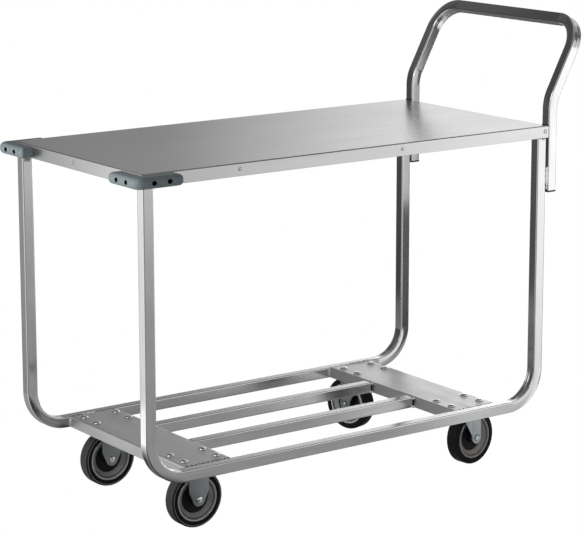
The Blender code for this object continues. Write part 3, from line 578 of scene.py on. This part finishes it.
for y in (inner_low[1], -inner_low[1] - TUBE):
    for z in (inner_low[2] + 0.0026, inner_high[2] - 0.0026):
        bead(tacks, (rear_low[0] - 0.0082, rear_low[0] + 0.0012), y - 0.0012, z, 0.0036, sway=0.0)
    # A dark block fills the gap between each inner rail and the rear plate: painted shade.
    spot = (rear_low[0] - RAIL_GAP - GAP_SHADE_EDGE, y + TUBE / 2, inner_low[2] + TUBE / 2)
    gap_shade.append(pressed(lambda inset: plug_outline(inset + GAP_SHADE_INSET), spot, RAIL_GAP, GAP_SHADE_EDGE, Y, Z, X))
for side in (-1, 1):
    for y, radius in GAP_WELDS:
        bead(tacks if y > BRIGHT_FROM_Y else beads, gap_x, side * y, GAP_WELD_Z, radius, 0.0075, 0.0007,
             0.2, 0.5)
    bead(beads, (leg_back - 0.016, leg_back), side * 0.2588, deck_foot - 0.003, 0.003, 0.006, 0.0007, 0.5)
    # Painted shade: a dark line down the gap between handle and leg.
    bead(seams_and_shade_lines, gap_x, side * 0.2565, (GAP_WELD_Z[1] - 0.002, deck_foot + 0.016), 0.003, sway=0.0, notch=0.0)
    # Painted shadow: a dark line under the deck's folded edge at the rear leg.
    bead(seams_and_shade_lines, (leg_back - 0.024, leg_back + 0.004), side * 0.2608, deck_foot - 0.0006, 0.0011, 0.009,
         0.0004, 0.4)
    # Painted shadow: a dark line under the deck's folded edge at the top of the front leg.
    bead(seams_and_shade_lines, (leg_front + 0.003, leg_front + 0.022), side * 0.2350, deck_foot - 0.0016, 0.0016)
    for drop, radius in LEG_TOP_WELDS:
        bead(beads, (leg_front + 0.003, leg_front + 0.021), side * 0.2345, deck_foot - drop, radius, 0.006,
             0.0012, 0.6)
    # Painted shadow: a dark line where the handle meets the deck's edge.
    bead(seams_and_shade_lines, deck_high[0] + 0.0002, (side * (handle_y - TUBE / 2), side * (handle_y + TUBE / 2)),
         deck_high[2] + 0.0004, 0.0011, sway=0.0)
weld_finish = steel("weld steel", 0.50, (0.92, 0.92, 0.91), 0.2, 0.36, 500.0, 220.0, 5e-5)
tack_finish = steel("bright tack steel", 0.86, 0.97, 0.4, 0.5, 500.0, 220.0, 3e-5)
add("welds", beads, weld_finish, "frame_tube", sharp=WELD_SHARP)
add("weld_seams_and_shade_lines", seams_and_shade_lines, shade_and_seam_finish, "frame_tube", sharp=WELD_SHARP)
add("rail_tacks", tacks, tack_finish, "frame_tube", sharp=WELD_SHARP)
add("rail_end_gap_shade", gap_shade, shade_and_seam_finish, "frame_tube")


# Corner bumpers: soft grey mouldings round the deck's two front corners, rounded on every outer edge.
# Two screws in deep recesses hold each of their four arms. The recesses are lined near-black and the screw
# heads darkened, as painted shade.
BUMPER_CORNER = 0.022
BUMPER_END = 0.0065
BUMPER_EDGE = 0.0006
BUMPER_ROUND = 0.0112
BUMPER_GAP = 0.0003
RECESS_RADIUS = 0.0048
RECESS_FLARE = 0.0058
RECESS_DEPTH = 0.016
SCREW_PLACES = (0.013, 0.050)
SCREW_HEAD = (0.0042, 0.0022, 0.0006)  # radius, height and brim
bumper_low, bumper_high = box_of("corner_bumper_near")
bumper_thick = deck_low[0] - bumper_low[0]
bumper_arm = bumper_high[0] - deck_low[0]
bumper_height = bumper_high[2] - bumper_low[2]


def bumper_outline(inset):
    """The bumper from above, for the near corner at the origin: an L whose outer side is drawn in."""
    out, arm, gap = bumper_thick - inset, bumper_arm - inset, BUMPER_GAP
    end, corner = max(BUMPER_END - inset, 0.0008), BUMPER_CORNER - inset
    return eased([(-out, -out), (arm, -out), (arm, -gap), (-gap, -gap), (-gap, arm), (-out, arm)],
                 [corner, end, BUMPER_EDGE, 0, BUMPER_EDGE, end], steps=9)


def cut_recesses(piece, recesses, shade_lining):
    """Cuts round recesses, flared where they meet the surface, out of a piece for good, and gives the cut
    faces a near-black lining that paints the shade inside them. Each recess is where it starts and its
    direction."""
    profile = [(RECESS_FLARE + 0.001, -0.001), (RECESS_FLARE, 0.0), (RECESS_RADIUS, 0.001),
               (RECESS_RADIUS, RECESS_DEPTH)]
    tools = [surface("recess", [turned(profile, start, way, 32)]) for start, way in recesses]
    for tool in tools:
        tool.data.materials.append(shade_lining)
        step = piece.modifiers.new("recess", "BOOLEAN")
        step.object = tool
        step.material_mode = "TRANSFER"
    shape = piece.evaluated_get(bpy.context.evaluated_depsgraph_get())
    mesh = bpy.data.meshes.new_from_object(shape)
    piece.modifiers.clear()
    piece.data = mesh
    for tool in tools:
        bpy.data.objects.remove(tool)
    mesh.shade_smooth()
    mesh.set_sharp_from_angle(angle=math.radians(SHARP_ANGLE))


bumper_finish = moulded("grey bumper rubber", (0.155, 0.185, 0.20), 0.45, 900.0, 0.35, 0.08)
# The screw heads are darkened to paint the shade deep in their recesses.
shaded_screw_finish = steel("painted shade screw steel", 0.10, 0.20, 0.3, 0.4, 300.0, 60.0)
# Near-black lining for the screw recesses: painted shade.
recess_shade_finish = moulded("painted shade recess rubber", (0.006, 0.006, 0.007), 0.6, 900.0, 0.05)
for label, side in (("near", 1.0), ("far", -1.0)):
    x, y, z = corner = np.array([deck_low[0], side * deck_low[1], bumper_low[2]])
    body = pressed(bumper_outline, corner, bumper_height, BUMPER_ROUND, up=side * Y, steps=8)
    bumper = add(f"{label}_bumper", [body], bumper_finish, "bumper_rubber", f"corner_bumper_{label}")
    z += bumper_height / 2
    recesses = [(np.array([x + reach, y - side * bumper_thick, z]), side * Y) for reach in SCREW_PLACES]
    recesses += [(np.array([x - bumper_thick, y + side * reach, z]), X) for reach in SCREW_PLACES]
    cut_recesses(bumper, recesses, recess_shade_finish)
    screws = [turned(dome(*SCREW_HEAD), start + way * RECESS_DEPTH, -way, 20) for start, way in recesses]
    add(f"{label}_bumper_screws", screws, shaded_screw_finish, "bolt_steel")


# Rigid front casters: a plate and two flat legs pressed from zinc-plated steel, tapered to a round foot
# at the axle, where a riveted axle with domed ends holds the wheel.
FORK_SHEET = 0.0025
BRACKET_WIDTH = 0.050
BRACKET_TAPER_RISE = 0.0185
BRACKET_SHOULDER = 0.006
BRACKET_FOOT = 0.015
HUB_LENGTH = 0.037
FORK_HALF_GAP = HUB_LENGTH / 2 + 0.001
PLATE_CORNER = 0.008
PLATE_EDGE = 0.0004
LEG_EDGE = 0.0005
WHEEL_RADIUS = joints["roll_front_near"]["pos_m"][2]
caster_low, caster_high = box_of("rigid_bracket_front_near")
swivel_low, swivel_high = box_of("swivel_plate_rear_near")
plate_z = swivel_low[2]
plate_sheet = swivel_high[2] - plate_z
plate_half = (caster_high[:2] - caster_low[:2]) / 2
zinc_finish = steel("zinc plated pressing", (0.33, 0.355, 0.365), (0.42, 0.445, 0.455), 0.34, 0.46,
                    120.0, 45.0)


def caster_plate(inset):
    """A caster's top plate from above, drawn in."""
    return rounded_box(*(plate_half - inset), PLATE_CORNER - inset)


def bracket_leg(inset):
    """A bracket's leg seen along the axle, whose place is the origin: straight sides, then two tangents
    to a round foot."""
    half, foot = BRACKET_WIDTH / 2 - inset, BRACKET_FOOT - inset
    rise, top = BRACKET_TAPER_RISE, plate_z + plate_sheet / 2 - WHEEL_RADIUS
    tangent = math.atan2(rise, half) - math.acos(foot / math.hypot(half, rise))
    angle = np.linspace(tangent, -math.pi - tangent, 25)
    round_foot = foot * np.c_[np.cos(angle), np.sin(angle)]
    return eased([(-half, rise), (-half, top), (half, top), (half, rise), *round_foot],
                 [BRACKET_SHOULDER, 0, 0, BRACKET_SHOULDER] + [0] * len(angle))


def axle_of(joint_name):
    """A wheel's middle, the level direction square to its axle, and the axle's own direction."""
    joint = joints[joint_name]
    axle = np.array(joint["axis"], float)
    return np.array(joint["pos_m"]), np.array([axle[1], -axle[0], 0.0]), axle


for label in ("near", "far"):
    centre, ahead, axle = axle_of(f"roll_front_{label}")
    parts = [pressed(caster_plate, (centre[0], centre[1], plate_z), plate_sheet, PLATE_EDGE)]
    for way in (-1, 1):
        face = centre + axle * way * FORK_HALF_GAP
        parts.append(pressed(bracket_leg, face, FORK_SHEET, LEG_EDGE, ahead, Z, axle * way))
    add(f"front_{label}_bracket", parts, zinc_finish, "zinc_plate", f"rigid_bracket_front_{label}")


# Swivel rear casters: the same plate carries a ball race, and a crown turns under it on the kingpin. The
# fork's legs trail back to the axle. A rib pressed down each leg stands proud of its sloping front part.
RACE_RADIUS = 0.028
RACE_NECK = 0.024
RACE_BORE = 0.0075
CROWN_RADIUS = 0.030
CROWN_BORE = 0.0068
CROWN_SHEET = 0.003
CROWN_GAP = 0.0003
TRAIL = 0.042
LEG_FRONT_TOP = -0.012
LEG_REAR_TOP = 0.020
LEG_SHOULDER_DROP = 0.021
LEG_WAIST_RISE = 0.0065
FORK_FOOT = 0.0135
FORK_EDGE = 0.0006
RIB_START = 0.0285
RIB_SLOPE = 0.003
RIB_PROUD = 0.0022
KINGPIN_HEAD = 0.010
KINGPIN_HEAD_HEIGHT = 0.003
KINGPIN_RADIUS = 0.006
race_low, race_high = box_of("swivel_race_rear_near")
crown_top = race_low[2] - CROWN_GAP


def fork_leg(place, ahead, axle, way):
    """A fork leg as a grid: rows run down the leg between its front and rear edges, columns across it and
    back. The front edge slopes from the crown to the foot, and the rear one is upright below its
    shoulder. The sheet steps out by the rib's height where it passes the start of the rib."""
    top = crown_top - CROWN_SHEET / 2
    to_axle, to_waist = top - place[2], top - place[2] - LEG_WAIST_RISE
    foot_angle = np.linspace(0.0, np.pi / 2, 13)[:-1]
    drop = np.concatenate([np.linspace(0.0, LEG_SHOULDER_DROP, 8),
                           np.linspace(LEG_SHOULDER_DROP, to_axle - 0.001, 14)[1:],
                           to_axle + FORK_FOOT * np.sin(foot_angle)])
    below = np.clip(drop - to_axle, 0.0, FORK_FOOT)
    half_foot = np.sqrt(np.maximum(FORK_FOOT ** 2 - below ** 2, 1e-8))
    bulge = (TRAIL + FORK_FOOT - LEG_REAR_TOP) * np.clip(drop / LEG_SHOULDER_DROP, 0, 1) ** 0.8
    rear = np.where(drop < LEG_SHOULDER_DROP, LEG_REAR_TOP + bulge, TRAIL + half_foot)
    slope = np.interp(drop, [0.0, to_waist], [LEG_FRONT_TOP, TRAIL - FORK_FOOT])
    front = np.where(drop < to_waist, slope, TRAIL - half_foot)
    share = np.concatenate([[0.0, 0.02], np.linspace(0.06, 0.94, 21), [0.98, 1.0]])
    wide = (rear - front)[:, None]
    x = front[:, None] + wide * share
    step = np.clip((x - RIB_START) / RIB_SLOPE, 0.0, 1.0)
    proud = RIB_PROUD * (step * step * (3 - 2 * step) - 0.4)
    thinned = FORK_EDGE * np.clip(1 - np.minimum(share, 1 - share) * wide / FORK_EDGE, 0, 1)
    outer = FORK_HALF_GAP + FORK_SHEET + proud - thinned
    x = np.concatenate([x, x[:, ::-1]], 1)[..., None]
    off = np.concatenate([outer, (outer - FORK_SHEET)[:, ::-1]], 1)[..., None]
    base = (place - ahead * TRAIL) * (1, 1, 0)
    return base + x * ahead + (top - drop)[:, None, None] * Z + way * off * axle


for label in ("near", "far"):
    under = np.array(joints[f"swivel_{label}"]["pos_m"]) * (1, 1, 0)
    plate = pressed(caster_plate, under + plate_z * Z, plate_sheet, PLATE_EDGE)
    add(f"rear_{label}_plate", [plate], zinc_finish, "zinc_plate", f"swivel_plate_rear_{label}")
    low, high = race_low[2], race_high[2]
    race = eased([(RACE_BORE, low), (RACE_NECK, low), (RACE_RADIUS, low + 0.003), (RACE_RADIUS, high),
                  (RACE_BORE, high)], [0.0003, 0.001, 0.001, 0.0008, 0.0003])
    add(f"rear_{label}_race", [turned(race, under, Z, 64)], zinc_finish, "zinc_plate",
        f"swivel_race_rear_{label}", rows_meet=True)
    (_, _, low), (_, _, high) = box_of(f"kingpin_rear_{label}")
    pin = [(0.0001, low), (KINGPIN_HEAD - 0.001, low), (KINGPIN_HEAD, low + 0.001),
           (KINGPIN_HEAD, low + KINGPIN_HEAD_HEIGHT), (KINGPIN_RADIUS, low + KINGPIN_HEAD_HEIGHT),
           (KINGPIN_RADIUS, high), (0.0001, high)]
    add(f"rear_{label}_kingpin", [turned(pin, under, Z, 32)], zinc_finish, "zinc_plate",
        f"kingpin_rear_{label}")
    low, high = crown_top - CROWN_SHEET, crown_top
    crown = eased([(CROWN_BORE, low), (CROWN_RADIUS, low), (CROWN_RADIUS, high), (CROWN_BORE, high)],
                  [0.0003, 0.0012, 0.0012, 0.0003])
    add(f"rear_{label}_crown", [turned(crown, under, Z, 64)], zinc_finish, "zinc_plate",
        f"swivel_fork_rear_{label}", body=f"fork_{label}", rows_meet=True)
    legs = [fork_leg(*axle_of(f"roll_rear_{label}"), way) for way in (-1.0, 1.0)]
    add(f"rear_{label}_fork_legs", legs, zinc_finish, "zinc_plate", body=f"fork_{label}")


# Wheels: a black rubber tyre moulded round a grey centre with a raised rim, a sloping dish and a thin
# web. A bronze bush turns on the axle, whose two domed heads are riveted over the legs.
tyre_low, tyre_high = box_of("tyre_front_near")
TYRE_HALF = (tyre_high[1] - tyre_low[1]) / 2
RIM_INNER = 0.0502
RIM_EDGE = RIM_INNER - 0.0002
TREAD = (0.0618, 1.0)  # this and the next three are bands between two radii
RIDGE = (0.0580, 0.0600)
BEAD = (0.0463, 0.0492)
GROOVE = (0.0429, 0.0448)
WHEEL_STEPS = 128
HUB_RADIUS = 0.013
HUB_BORE = 0.0067
BUSH_RADIUS = 0.0065
BUSH_BORE = 0.0048
AXLE_RADIUS = 0.0045
AXLE_HEAD = (0.0072, 0.0042, 0.0008)  # radius, height and brim
# the rear axle heads get a wider painted contact shadow
REAR_SHADOW_RING_WIDTH = 0.0011


def both_sides(half, radii):
    """A closed profile from the eased half at the near side of the wheel's middle, and its mirror image."""
    half = eased(half, radii, steps=4, guard=0.0001)
    return np.concatenate([half, (half * (1, -1))[::-1]])


def band(piece, profile, finish, low, high):
    """Gives the rings of a turned piece between two radii a finish of their own."""
    middle = (profile[:, 0] + np.roll(profile[:, 0], -1)) / 2
    index = np.zeros(len(piece.data.polygons), np.int32)
    piece.data.polygons.foreach_get("material_index", index)
    index[np.repeat((middle > low) & (middle < high), WHEEL_STEPS)] = len(piece.data.materials)
    piece.data.materials.append(finish)
    piece.data.polygons.foreach_set("material_index", index)


tyre_profile = both_sides([(RIM_INNER, 0.0), (RIM_INNER, 0.0010 - TYRE_HALF), (0.0520, -TYRE_HALF),
                           (0.0565, -TYRE_HALF), (0.0572, 0.0010 - TYRE_HALF), (0.0583, 0.0010 - TYRE_HALF),
                           (0.0589, -TYRE_HALF - 0.0001), (0.0601, -TYRE_HALF),
                           (WHEEL_RADIUS, 0.0036 - TYRE_HALF), (WHEEL_RADIUS, 0.0)],
                          [0, 0.0004, 0.0004, 0.0003, 0.0003, 0.0003, 0.0004, 0.0016, 0.0024, 0])
rim_profile = both_sides([(0.0335, 0.0), (0.0335, -0.0050), (0.0420, -0.0118), (0.0430, -0.0100),
                          (0.0446, -0.0100), (0.0460, -0.0152), (0.0484, -0.0160), (0.0494, -0.0140),
                          (RIM_EDGE, -0.0140), (RIM_EDGE, 0.0)],
                         [0, 0.0008, 0.0006, 0.0004, 0.0004, 0.0009, 0.0007, 0.0003, 0.0002, 0])
hub_profile = both_sides([(HUB_BORE, 0.0), (HUB_BORE, -HUB_LENGTH / 2), (HUB_RADIUS, -HUB_LENGTH / 2),
                          (HUB_RADIUS + 0.0015, -0.002), (0.0333, -0.002), (0.0333, 0.0)],
                         [0, 0.0005, 0.0008, 0.0015, 0.0004, 0])
bush_profile = [(BUSH_BORE, -HUB_LENGTH / 2), (BUSH_RADIUS, -HUB_LENGTH / 2), (BUSH_RADIUS, HUB_LENGTH / 2),
                (BUSH_BORE, HUB_LENGTH / 2)]
tyre_finish = moulded("black tyre rubber", 0.009, 0.40, 700.0, 0.08)
# Lighter worn tread, given to the front tyres only: wear, and painted light; the rear treads keep the darker
# rubber.
tread_wear_and_light_finish = moulded("worn tread rubber with painted light", 0.030, 0.5, 500.0, 0.12, 0.4)
# Painted highlight: a light ring on the tyre's side ridge, on the front tyres only.
ridge_highlight_finish = moulded("painted highlight tyre ridge", 0.20, 0.5, 500.0, 0.15, 0.3)
rim_finish = moulded("grey wheel rim", (0.27, 0.27, 0.267), 0.42, 600.0, 0.3)
# A lighter, warmer copy of the rim for the rear near wheel: painted light.
lit_rim_finish = moulded("painted light wheel rim", (0.38, 0.36, 0.34), 0.42, 600.0, 0.3, 0.2)
# Painted shade: the groove between the rim's bead and its dish is darker.
groove_shade_finish = moulded("painted shade wheel groove", 0.10, 0.5, 600.0, 0.2)
# Painted highlight: the rim's raised bead is lighter than the rest of the rim.
bead_highlight_finish = moulded("painted highlight wheel bead", (0.48, 0.48, 0.475), 0.38, 600.0, 0.4)
hub_finish = moulded("black wheel hub", 0.014, 0.45, 600.0, 0.12)
bush_finish = steel("bronze bush", (0.30, 0.22, 0.11), (0.40, 0.29, 0.15), 0.3, 0.4, 90.0, 30.0)
axle_finish = steel("bright zinc", (0.46, 0.48, 0.50), (0.58, 0.60, 0.62), 0.08, 0.15, 200.0, 60.0, 6e-6)
# A brighter copy of the axle zinc for the front axle heads: painted highlight; the rear heads keep the plain
# zinc.
front_head_highlight_finish = steel("painted highlight axle head", (0.80, 0.82, 0.84), (0.92, 0.94, 0.96), 0.10, 0.18, 200.0, 60.0,
                    6e-6)
for label in ("front_near", "front_far", "rear_near", "rear_far"):
    centre, _, axle = axle_of(f"roll_{label}")
    front = label.startswith("front")
    holder = "frame" if front else label.replace("rear", "fork")
    # The rear near wheel's rim takes the lighter copy: painted light.
    tyre, rim, _, _ = [
        add(f"{label}_{part}", [turned(profile, centre, axle, steps)], finish, slot, *nodes,
            body=f"wheel_{label}", rows_meet=True)
        for part, profile, steps, finish, slot, *nodes in (
            ("tyre", tyre_profile, WHEEL_STEPS, tyre_finish, "tyre_rubber", f"tyre_{label}"),
            ("rim", rim_profile, WHEEL_STEPS, lit_rim_finish if label == "rear_near" else rim_finish,
             "wheel_centre", f"wheel_core_{label}"),
            ("hub", hub_profile, WHEEL_STEPS, hub_finish, "wheel_centre"),
            ("bush", bush_profile, 48, bush_finish, "wheel_bush", f"wheel_bush_{label}"))]
    # The front tyres alone get the lighter tread (wear, with painted light) and the painted highlight on the
    # ridge.
    if front:
        band(tyre, tyre_profile, tread_wear_and_light_finish, *TREAD)
        band(tyre, tyre_profile, ridge_highlight_finish, *RIDGE)
    # Painted highlight on the rim's bead, and painted shade in its groove.
    band(rim, rim_profile, bead_highlight_finish, *BEAD)
    band(rim, rim_profile, groove_shade_finish, *GROOVE)
    face = FORK_HALF_GAP + FORK_SHEET + 0.0003 + (0.0 if front else RIB_PROUD * 0.6)
    head = dome(*AXLE_HEAD, base=face)
    pin = np.concatenate([(head * (1, -1))[:0:-1], [(AXLE_RADIUS, -face), (AXLE_RADIUS, face)], head[1:]])
    # Front axle heads take the brighter copy: painted highlight.
    add(f"{label}_axle", [turned(pin, centre, axle, 40)], front_head_highlight_finish if front else axle_finish,
        "zinc_plate", f"axle_{label}", body=holder)
    # Painted contact shadow round each axle head, wider on the rear wheels.
    shadow_ring_width = SHADOW_RING_WIDTH if front else REAR_SHADOW_RING_WIDTH
    shadow_rings = [shadow_ring(AXLE_HEAD[0], centre + side * (face - 0.0004), side, shadow_ring_width) for side in (-axle, axle)]
    add(f"{label}_axle_shadow_rings", shadow_rings, shade_and_seam_finish, "zinc_plate", body=holder, rows_meet=True)


# Caster bolts: four to a caster, with bright domed heads on the shelf plate and nuts under the caster.
BOLT_HEAD = (0.0085, 0.0048, 0.0007)  # radius, height and brim
BOLT_HEAD_EDGE = 74.0
BOLT_RADIUS = 0.004
NUT_BORE = 0.0042
NUT_ACROSS = 0.0072
bolt_finish = steel("zinc bolt steel", (0.56, 0.57, 0.58), (0.70, 0.71, 0.72), 0.08, 0.14, 200.0, 60.0, 6e-6)
for place in ("front_near", "front_far", "rear_near", "rear_far"):
    for number in range(1, 5):
        name = f"bolt_{place}_{number}"
        low, high = box_of(name)
        spot = (low + high) / 2 * (1, 1, 0)
        foot, face = low[2], high[2] - BOLT_HEAD[1]
        head = dome(*BOLT_HEAD, base=face, edge=BOLT_HEAD_EDGE)
        shank = [(BOLT_RADIUS, foot), (BOLT_RADIUS, face + 0.0002)]
        nut = [(NUT_BORE, foot), (NUT_ACROSS - 0.0008, foot), (NUT_ACROSS, foot + 0.0006),
               (NUT_ACROSS, foot + 0.0056), (NUT_BORE, foot + 0.006)]
        parts = [turned(profile, spot, Z, steps) for profile, steps in ((head, 40), (shank, 24), (nut, 6))]
        add(f"{place}_bolt_{number}", parts, bolt_finish, "bolt_steel", name)
        # Painted contact shadow round the bolt head.
        ring = shadow_ring(BOLT_HEAD[0], spot + face * Z, Z)
        add(f"{place}_bolt_{number}_seat", [ring], shade_and_seam_finish, "bolt_steel", rows_meet=True)


# Studio: a plain pale floor under soft light, and the camera at the photograph's angle.
VIEW_PLACE = (-2.973223, -4.108057, 1.594758)
VIEW_YAW, VIEW_PITCH, VIEW_ROLL = (math.radians(angle) for angle in (-35.5943, 10.9181, -0.0756))
FRAME_WIDTH = 584
SENSOR = 36.0
VIEW_FOCUS = 2289.880 / FRAME_WIDTH * SENSOR
VIEW_SHIFT = -60 / FRAME_WIDTH

camera = linked("camera", bpy.data.cameras.new("camera"))
camera.data.lens = VIEW_FOCUS
camera.data.sensor_width = SENSOR
camera.data.sensor_fit = "HORIZONTAL"
camera.data.shift_y = VIEW_SHIFT
camera.data.clip_end = 100.0
camera.matrix_world = (Matrix.Translation(VIEW_PLACE) @ Matrix.Rotation(VIEW_YAW, 4, "Z")
                       @ Matrix.Rotation(math.pi / 2 - VIEW_PITCH, 4, "X")
                       @ Matrix.Rotation(VIEW_ROLL, 4, "Z"))
bpy.context.scene.camera = camera

ACROSS = Vector((0.8, 0.573, 0.0))  # level, and square to the way that light leaves an upright face
BRIGHTEST = 2.0
MOST_RISE = 4.0
WHITE = (1.0, 1.0, 1.0, 1.0)


def panel(name, corners, paint):
    """A four-cornered face of the studio, in its paint."""
    mesh = bpy.data.meshes.new(name)
    mesh.from_pydata(corners, [], [(0, 1, 2, 3)])
    mesh.materials.append(paint)
    piece = linked(name, mesh)
    return piece


def toned(tree, value, stops, most=BRIGHTEST):
    """A grey that runs straight from stop to stop of (place, brightness), given as a share of the most."""
    low, high = stops[0][0], stops[-1][0]
    ramp = node(tree, "ValToRGB", {"Fac": ranged(tree, value, low, high)})
    for place, brightness in stops[1:-1]:
        ramp.color_ramp.elements.new((place - low) / (high - low))
    for element, (place, brightness) in zip(ramp.color_ramp.elements, stops):
        element.color = (*three(brightness / most), 1.0)
    return ramp.outputs["Color"]


def card(name, heading, distance, stops, rises):
    """A tall card beside the cart, seen only in the steel. Its stops run along it from end to end. Its
    rises are (height, share) pairs from its foot to its top, and its tone is multiplied by the share."""
    paint, tree, shader = blank(name)
    tree.nodes.remove(shader)
    place = node(tree, "SeparateXYZ", {0: own_place(tree)}).outputs
    share = node(tree, "Math", {0: toned(tree, place["Z"], rises, MOST_RISE), 1: MOST_RISE * BRIGHTEST},
                 operation="MULTIPLY")
    glow = node(tree, "Emission", {"Color": toned(tree, place["X"], stops), "Strength": share.outputs[0]})
    tree.links.new(glow.outputs[0], tree.nodes["Material Output"].inputs["Surface"])
    start, end, low, high = stops[0][0], stops[-1][0], rises[0][0], rises[-1][0]
    piece = panel(name, [(start, 0, low), (end, 0, low), (end, 0, high), (start, 0, high)], paint)
    piece.location = (heading[0] * distance, heading[1] * distance, 0.0)
    piece.rotation_euler = (0.0, 0.0, math.atan2(heading[0], -heading[1]))
    piece.visible_camera = piece.visible_diffuse = piece.visible_shadow = False


def shown_as(tree, output, lighting, mirrored, seen):
    """Shows one shader in the steel and one to the camera, and lights everything else with another."""
    rays, chosen = node(tree, "LightPath").outputs, lighting
    for ray, shader in (("Is Glossy Ray", mirrored), ("Is Camera Ray", seen)):
        chosen = node(tree, "MixShader", {0: rays[ray], 1: chosen.outputs[0], 2: shader.outputs[0]})
    tree.links.new(chosen.outputs[0], tree.nodes[output].inputs["Surface"])


floor_paint, tree, shader = blank("pale floor")
tree.nodes.remove(shader)
spot = own_place(tree)
beside = node(tree, "VectorMath", {0: spot, 1: ACROSS}, operation="DOT_PRODUCT").outputs["Value"]
depth = node(tree, "SeparateXYZ", {0: spot}).outputs["Y"]
# The floor that the steel reflects is painted emission, with painted shadow under the cart's near side and
# by its near front corner.
closer, corner = ranged(tree, depth, -0.56, -0.44), ranged(tree, beside, -0.44, -0.50)
shaded = node(tree, "Math", {0: closer, 1: corner}, operation="MULTIPLY").outputs[0]
under = node(tree, "Math", {0: ranged(tree, depth, -0.26, -0.16), 1: shaded}, operation="MAXIMUM").outputs[0]
tone = toned(tree, beside, [(-2.0, 0.35), (-0.6, 0.38), (-0.1, 0.38), (0.0, 0.5), (0.13, 0.78), (0.2, 0.64),
                            (0.26, 0.62), (0.31, 1.08), (0.44, 1.2), (0.47, 0.08), (2.0, 0.08)])
for share, stops in (
        (under, [(-2.0, 0.07), (-0.48, 0.07), (-0.38, 0.25), (0.05, 0.24), (0.22, 0.24), (0.4, 0.36),
                 (0.5, 0.42), (2.0, 0.42)]),
        (ranged(tree, depth, 0.02, 0.35),
         [(-2.0, 1.6), (-0.55, 1.5), (-0.42, 0.98), (-0.33, 0.57), (-0.2, 0.39), (0.1, 0.2), (0.36, 0.2),
          (0.44, 0.25), (2.0, 0.25)]),
        (ranged(tree, depth, 0.9, 1.1),
         [(-2.0, 1.3), (-0.6, 1.2), (-0.36, 0.65), (-0.2, 0.45), (0.1, 0.2), (2.0, 0.15)])):
    tone = blend(tree, share, tone, toned(tree, beside, stops))
shown_as(tree, "Material Output", node(tree, "BsdfDiffuse", {"Color": (0.8, 0.8, 0.8, 1.0)}),
         node(tree, "Emission", {"Color": tone, "Strength": BRIGHTEST}),
         node(tree, "Emission", {"Color": WHITE, "Strength": 1.0}))
panel("floor", [(-40, -40, 0), (40, -40, 0), (40, 40, 0), (-40, 40, 0)], floor_paint)

card("near card", (0.573, -0.82), 1.2,
     [(-0.35, 0.89), (-0.2, 0.95), (0.1, 1.2), (0.32, 1.3), (0.36, 1.5), (0.45, 1.55), (0.5, 0.14),
      (1.2, 0.14)],
     [(0.0, 0.75), (0.5, 1.0), (1.35, 1.0)])
card("near left card", (0.573, -0.82), 1.2, [(-2.0, 0.6), (-0.7, 0.76), (-0.53, 0.82), (-0.35, 0.89)],
     [(0.0, 0.56), (0.16, 0.54), (0.28, 0.66), (0.4, 0.78), (0.51, 0.93), (0.56, 1.0), (1.35, 1.0)])
card("rear card", (0.573, -0.82), 1.19, [(0.5, 0.8), (0.64, 0.8)], [(0.33, 1.0), (1.35, 1.0)])
card("far left card", (-0.573, 0.82), 1.2,
     [(-1.0, 0.13), (-0.6, 0.12), (-0.5, 0.08), (-0.05, 0.09), (0.1, 0.2), (0.28, 0.4), (0.51, 0.9),
      (0.6, 1.25), (2.0, 1.3)],
     [(0.0, 0.85), (0.5, 1.0), (3.0, 1.0)])
card("far right card", (0.573, 0.82), 3.0,
     [(-2.5, 1.12), (-0.5, 1.1), (-0.3, 0.95), (0.0, 0.68), (0.3, 0.43), (0.45, 0.32), (2.5, 0.2)],
     [(0.0, 4.0), (0.58, 4.0), (0.68, 0.7), (0.95, 0.84), (1.15, 0.84), (1.4, 1.12), (2.2, 1.25)])
card("right card", (0.573, 0.82), 2.95, [(-3.2, 1.9), (-1.15, 1.9)],
     [(0.1, 2.0), (0.82, 2.0), (1.0, 0.35), (3.2, 0.35)])
card("low right card", (0.573, 0.82), 2.95, [(-1.15, 1.9), (-0.62, 1.9)], [(0.1, 2.0), (0.82, 2.0)])
card("corner card", (-0.8, -0.6), 3.0, [(-0.5, 1.9), (0.5, 1.9)], [(1.35, 1.0), (2.3, 1.0)])

world = bpy.data.worlds.new("studio")
bpy.context.scene.world = world
world.use_nodes = True
tree = world.node_tree
height = node(tree, "SeparateXYZ", {0: node(tree, "TexCoord").outputs["Generated"]}).outputs["Z"]
sky = toned(tree, height, [(-1.0, 0.4), (0.38, 0.4), (0.48, 0.1), (0.83, 0.1), (0.89, 0.55), (1.0, 0.55)])
shown_as(tree, "World Output", node(tree, "Background", {"Color": WHITE, "Strength": 0.36}),
         node(tree, "Background", {"Color": sky, "Strength": BRIGHTEST}),
         node(tree, "Background", {"Color": WHITE, "Strength": 1.0}))


def softbox(name, place, aim, width, height, strength):
    """A rectangular light that faces a point. It isn't seen itself, but it shows in the steel."""
    light = bpy.data.lights.new(name, "AREA")
    light.shape = "RECTANGLE"
    light.size, light.size_y = width, height
    light.energy = strength * width * height * math.pi
    lamp = linked(name, light)
    lamp.location = place
    lamp.rotation_euler = (Vector(aim) - Vector(place)).to_track_quat("-Z", "Y").to_euler()
    lamp.visible_camera = False
    return lamp


softbox("left key", (-3.4, 0.4, 0.75), (-0.3, 0.0, 0.55), 2.6, 2.2, 7.5).visible_glossy = False
softbox("left glint", (-2.2, -0.6, 2.2), (-0.3, 0.0, 0.4), 1.0, 1.0, 3.5).visible_diffuse = False

bpy.context.scene.view_settings.view_transform = "Standard"
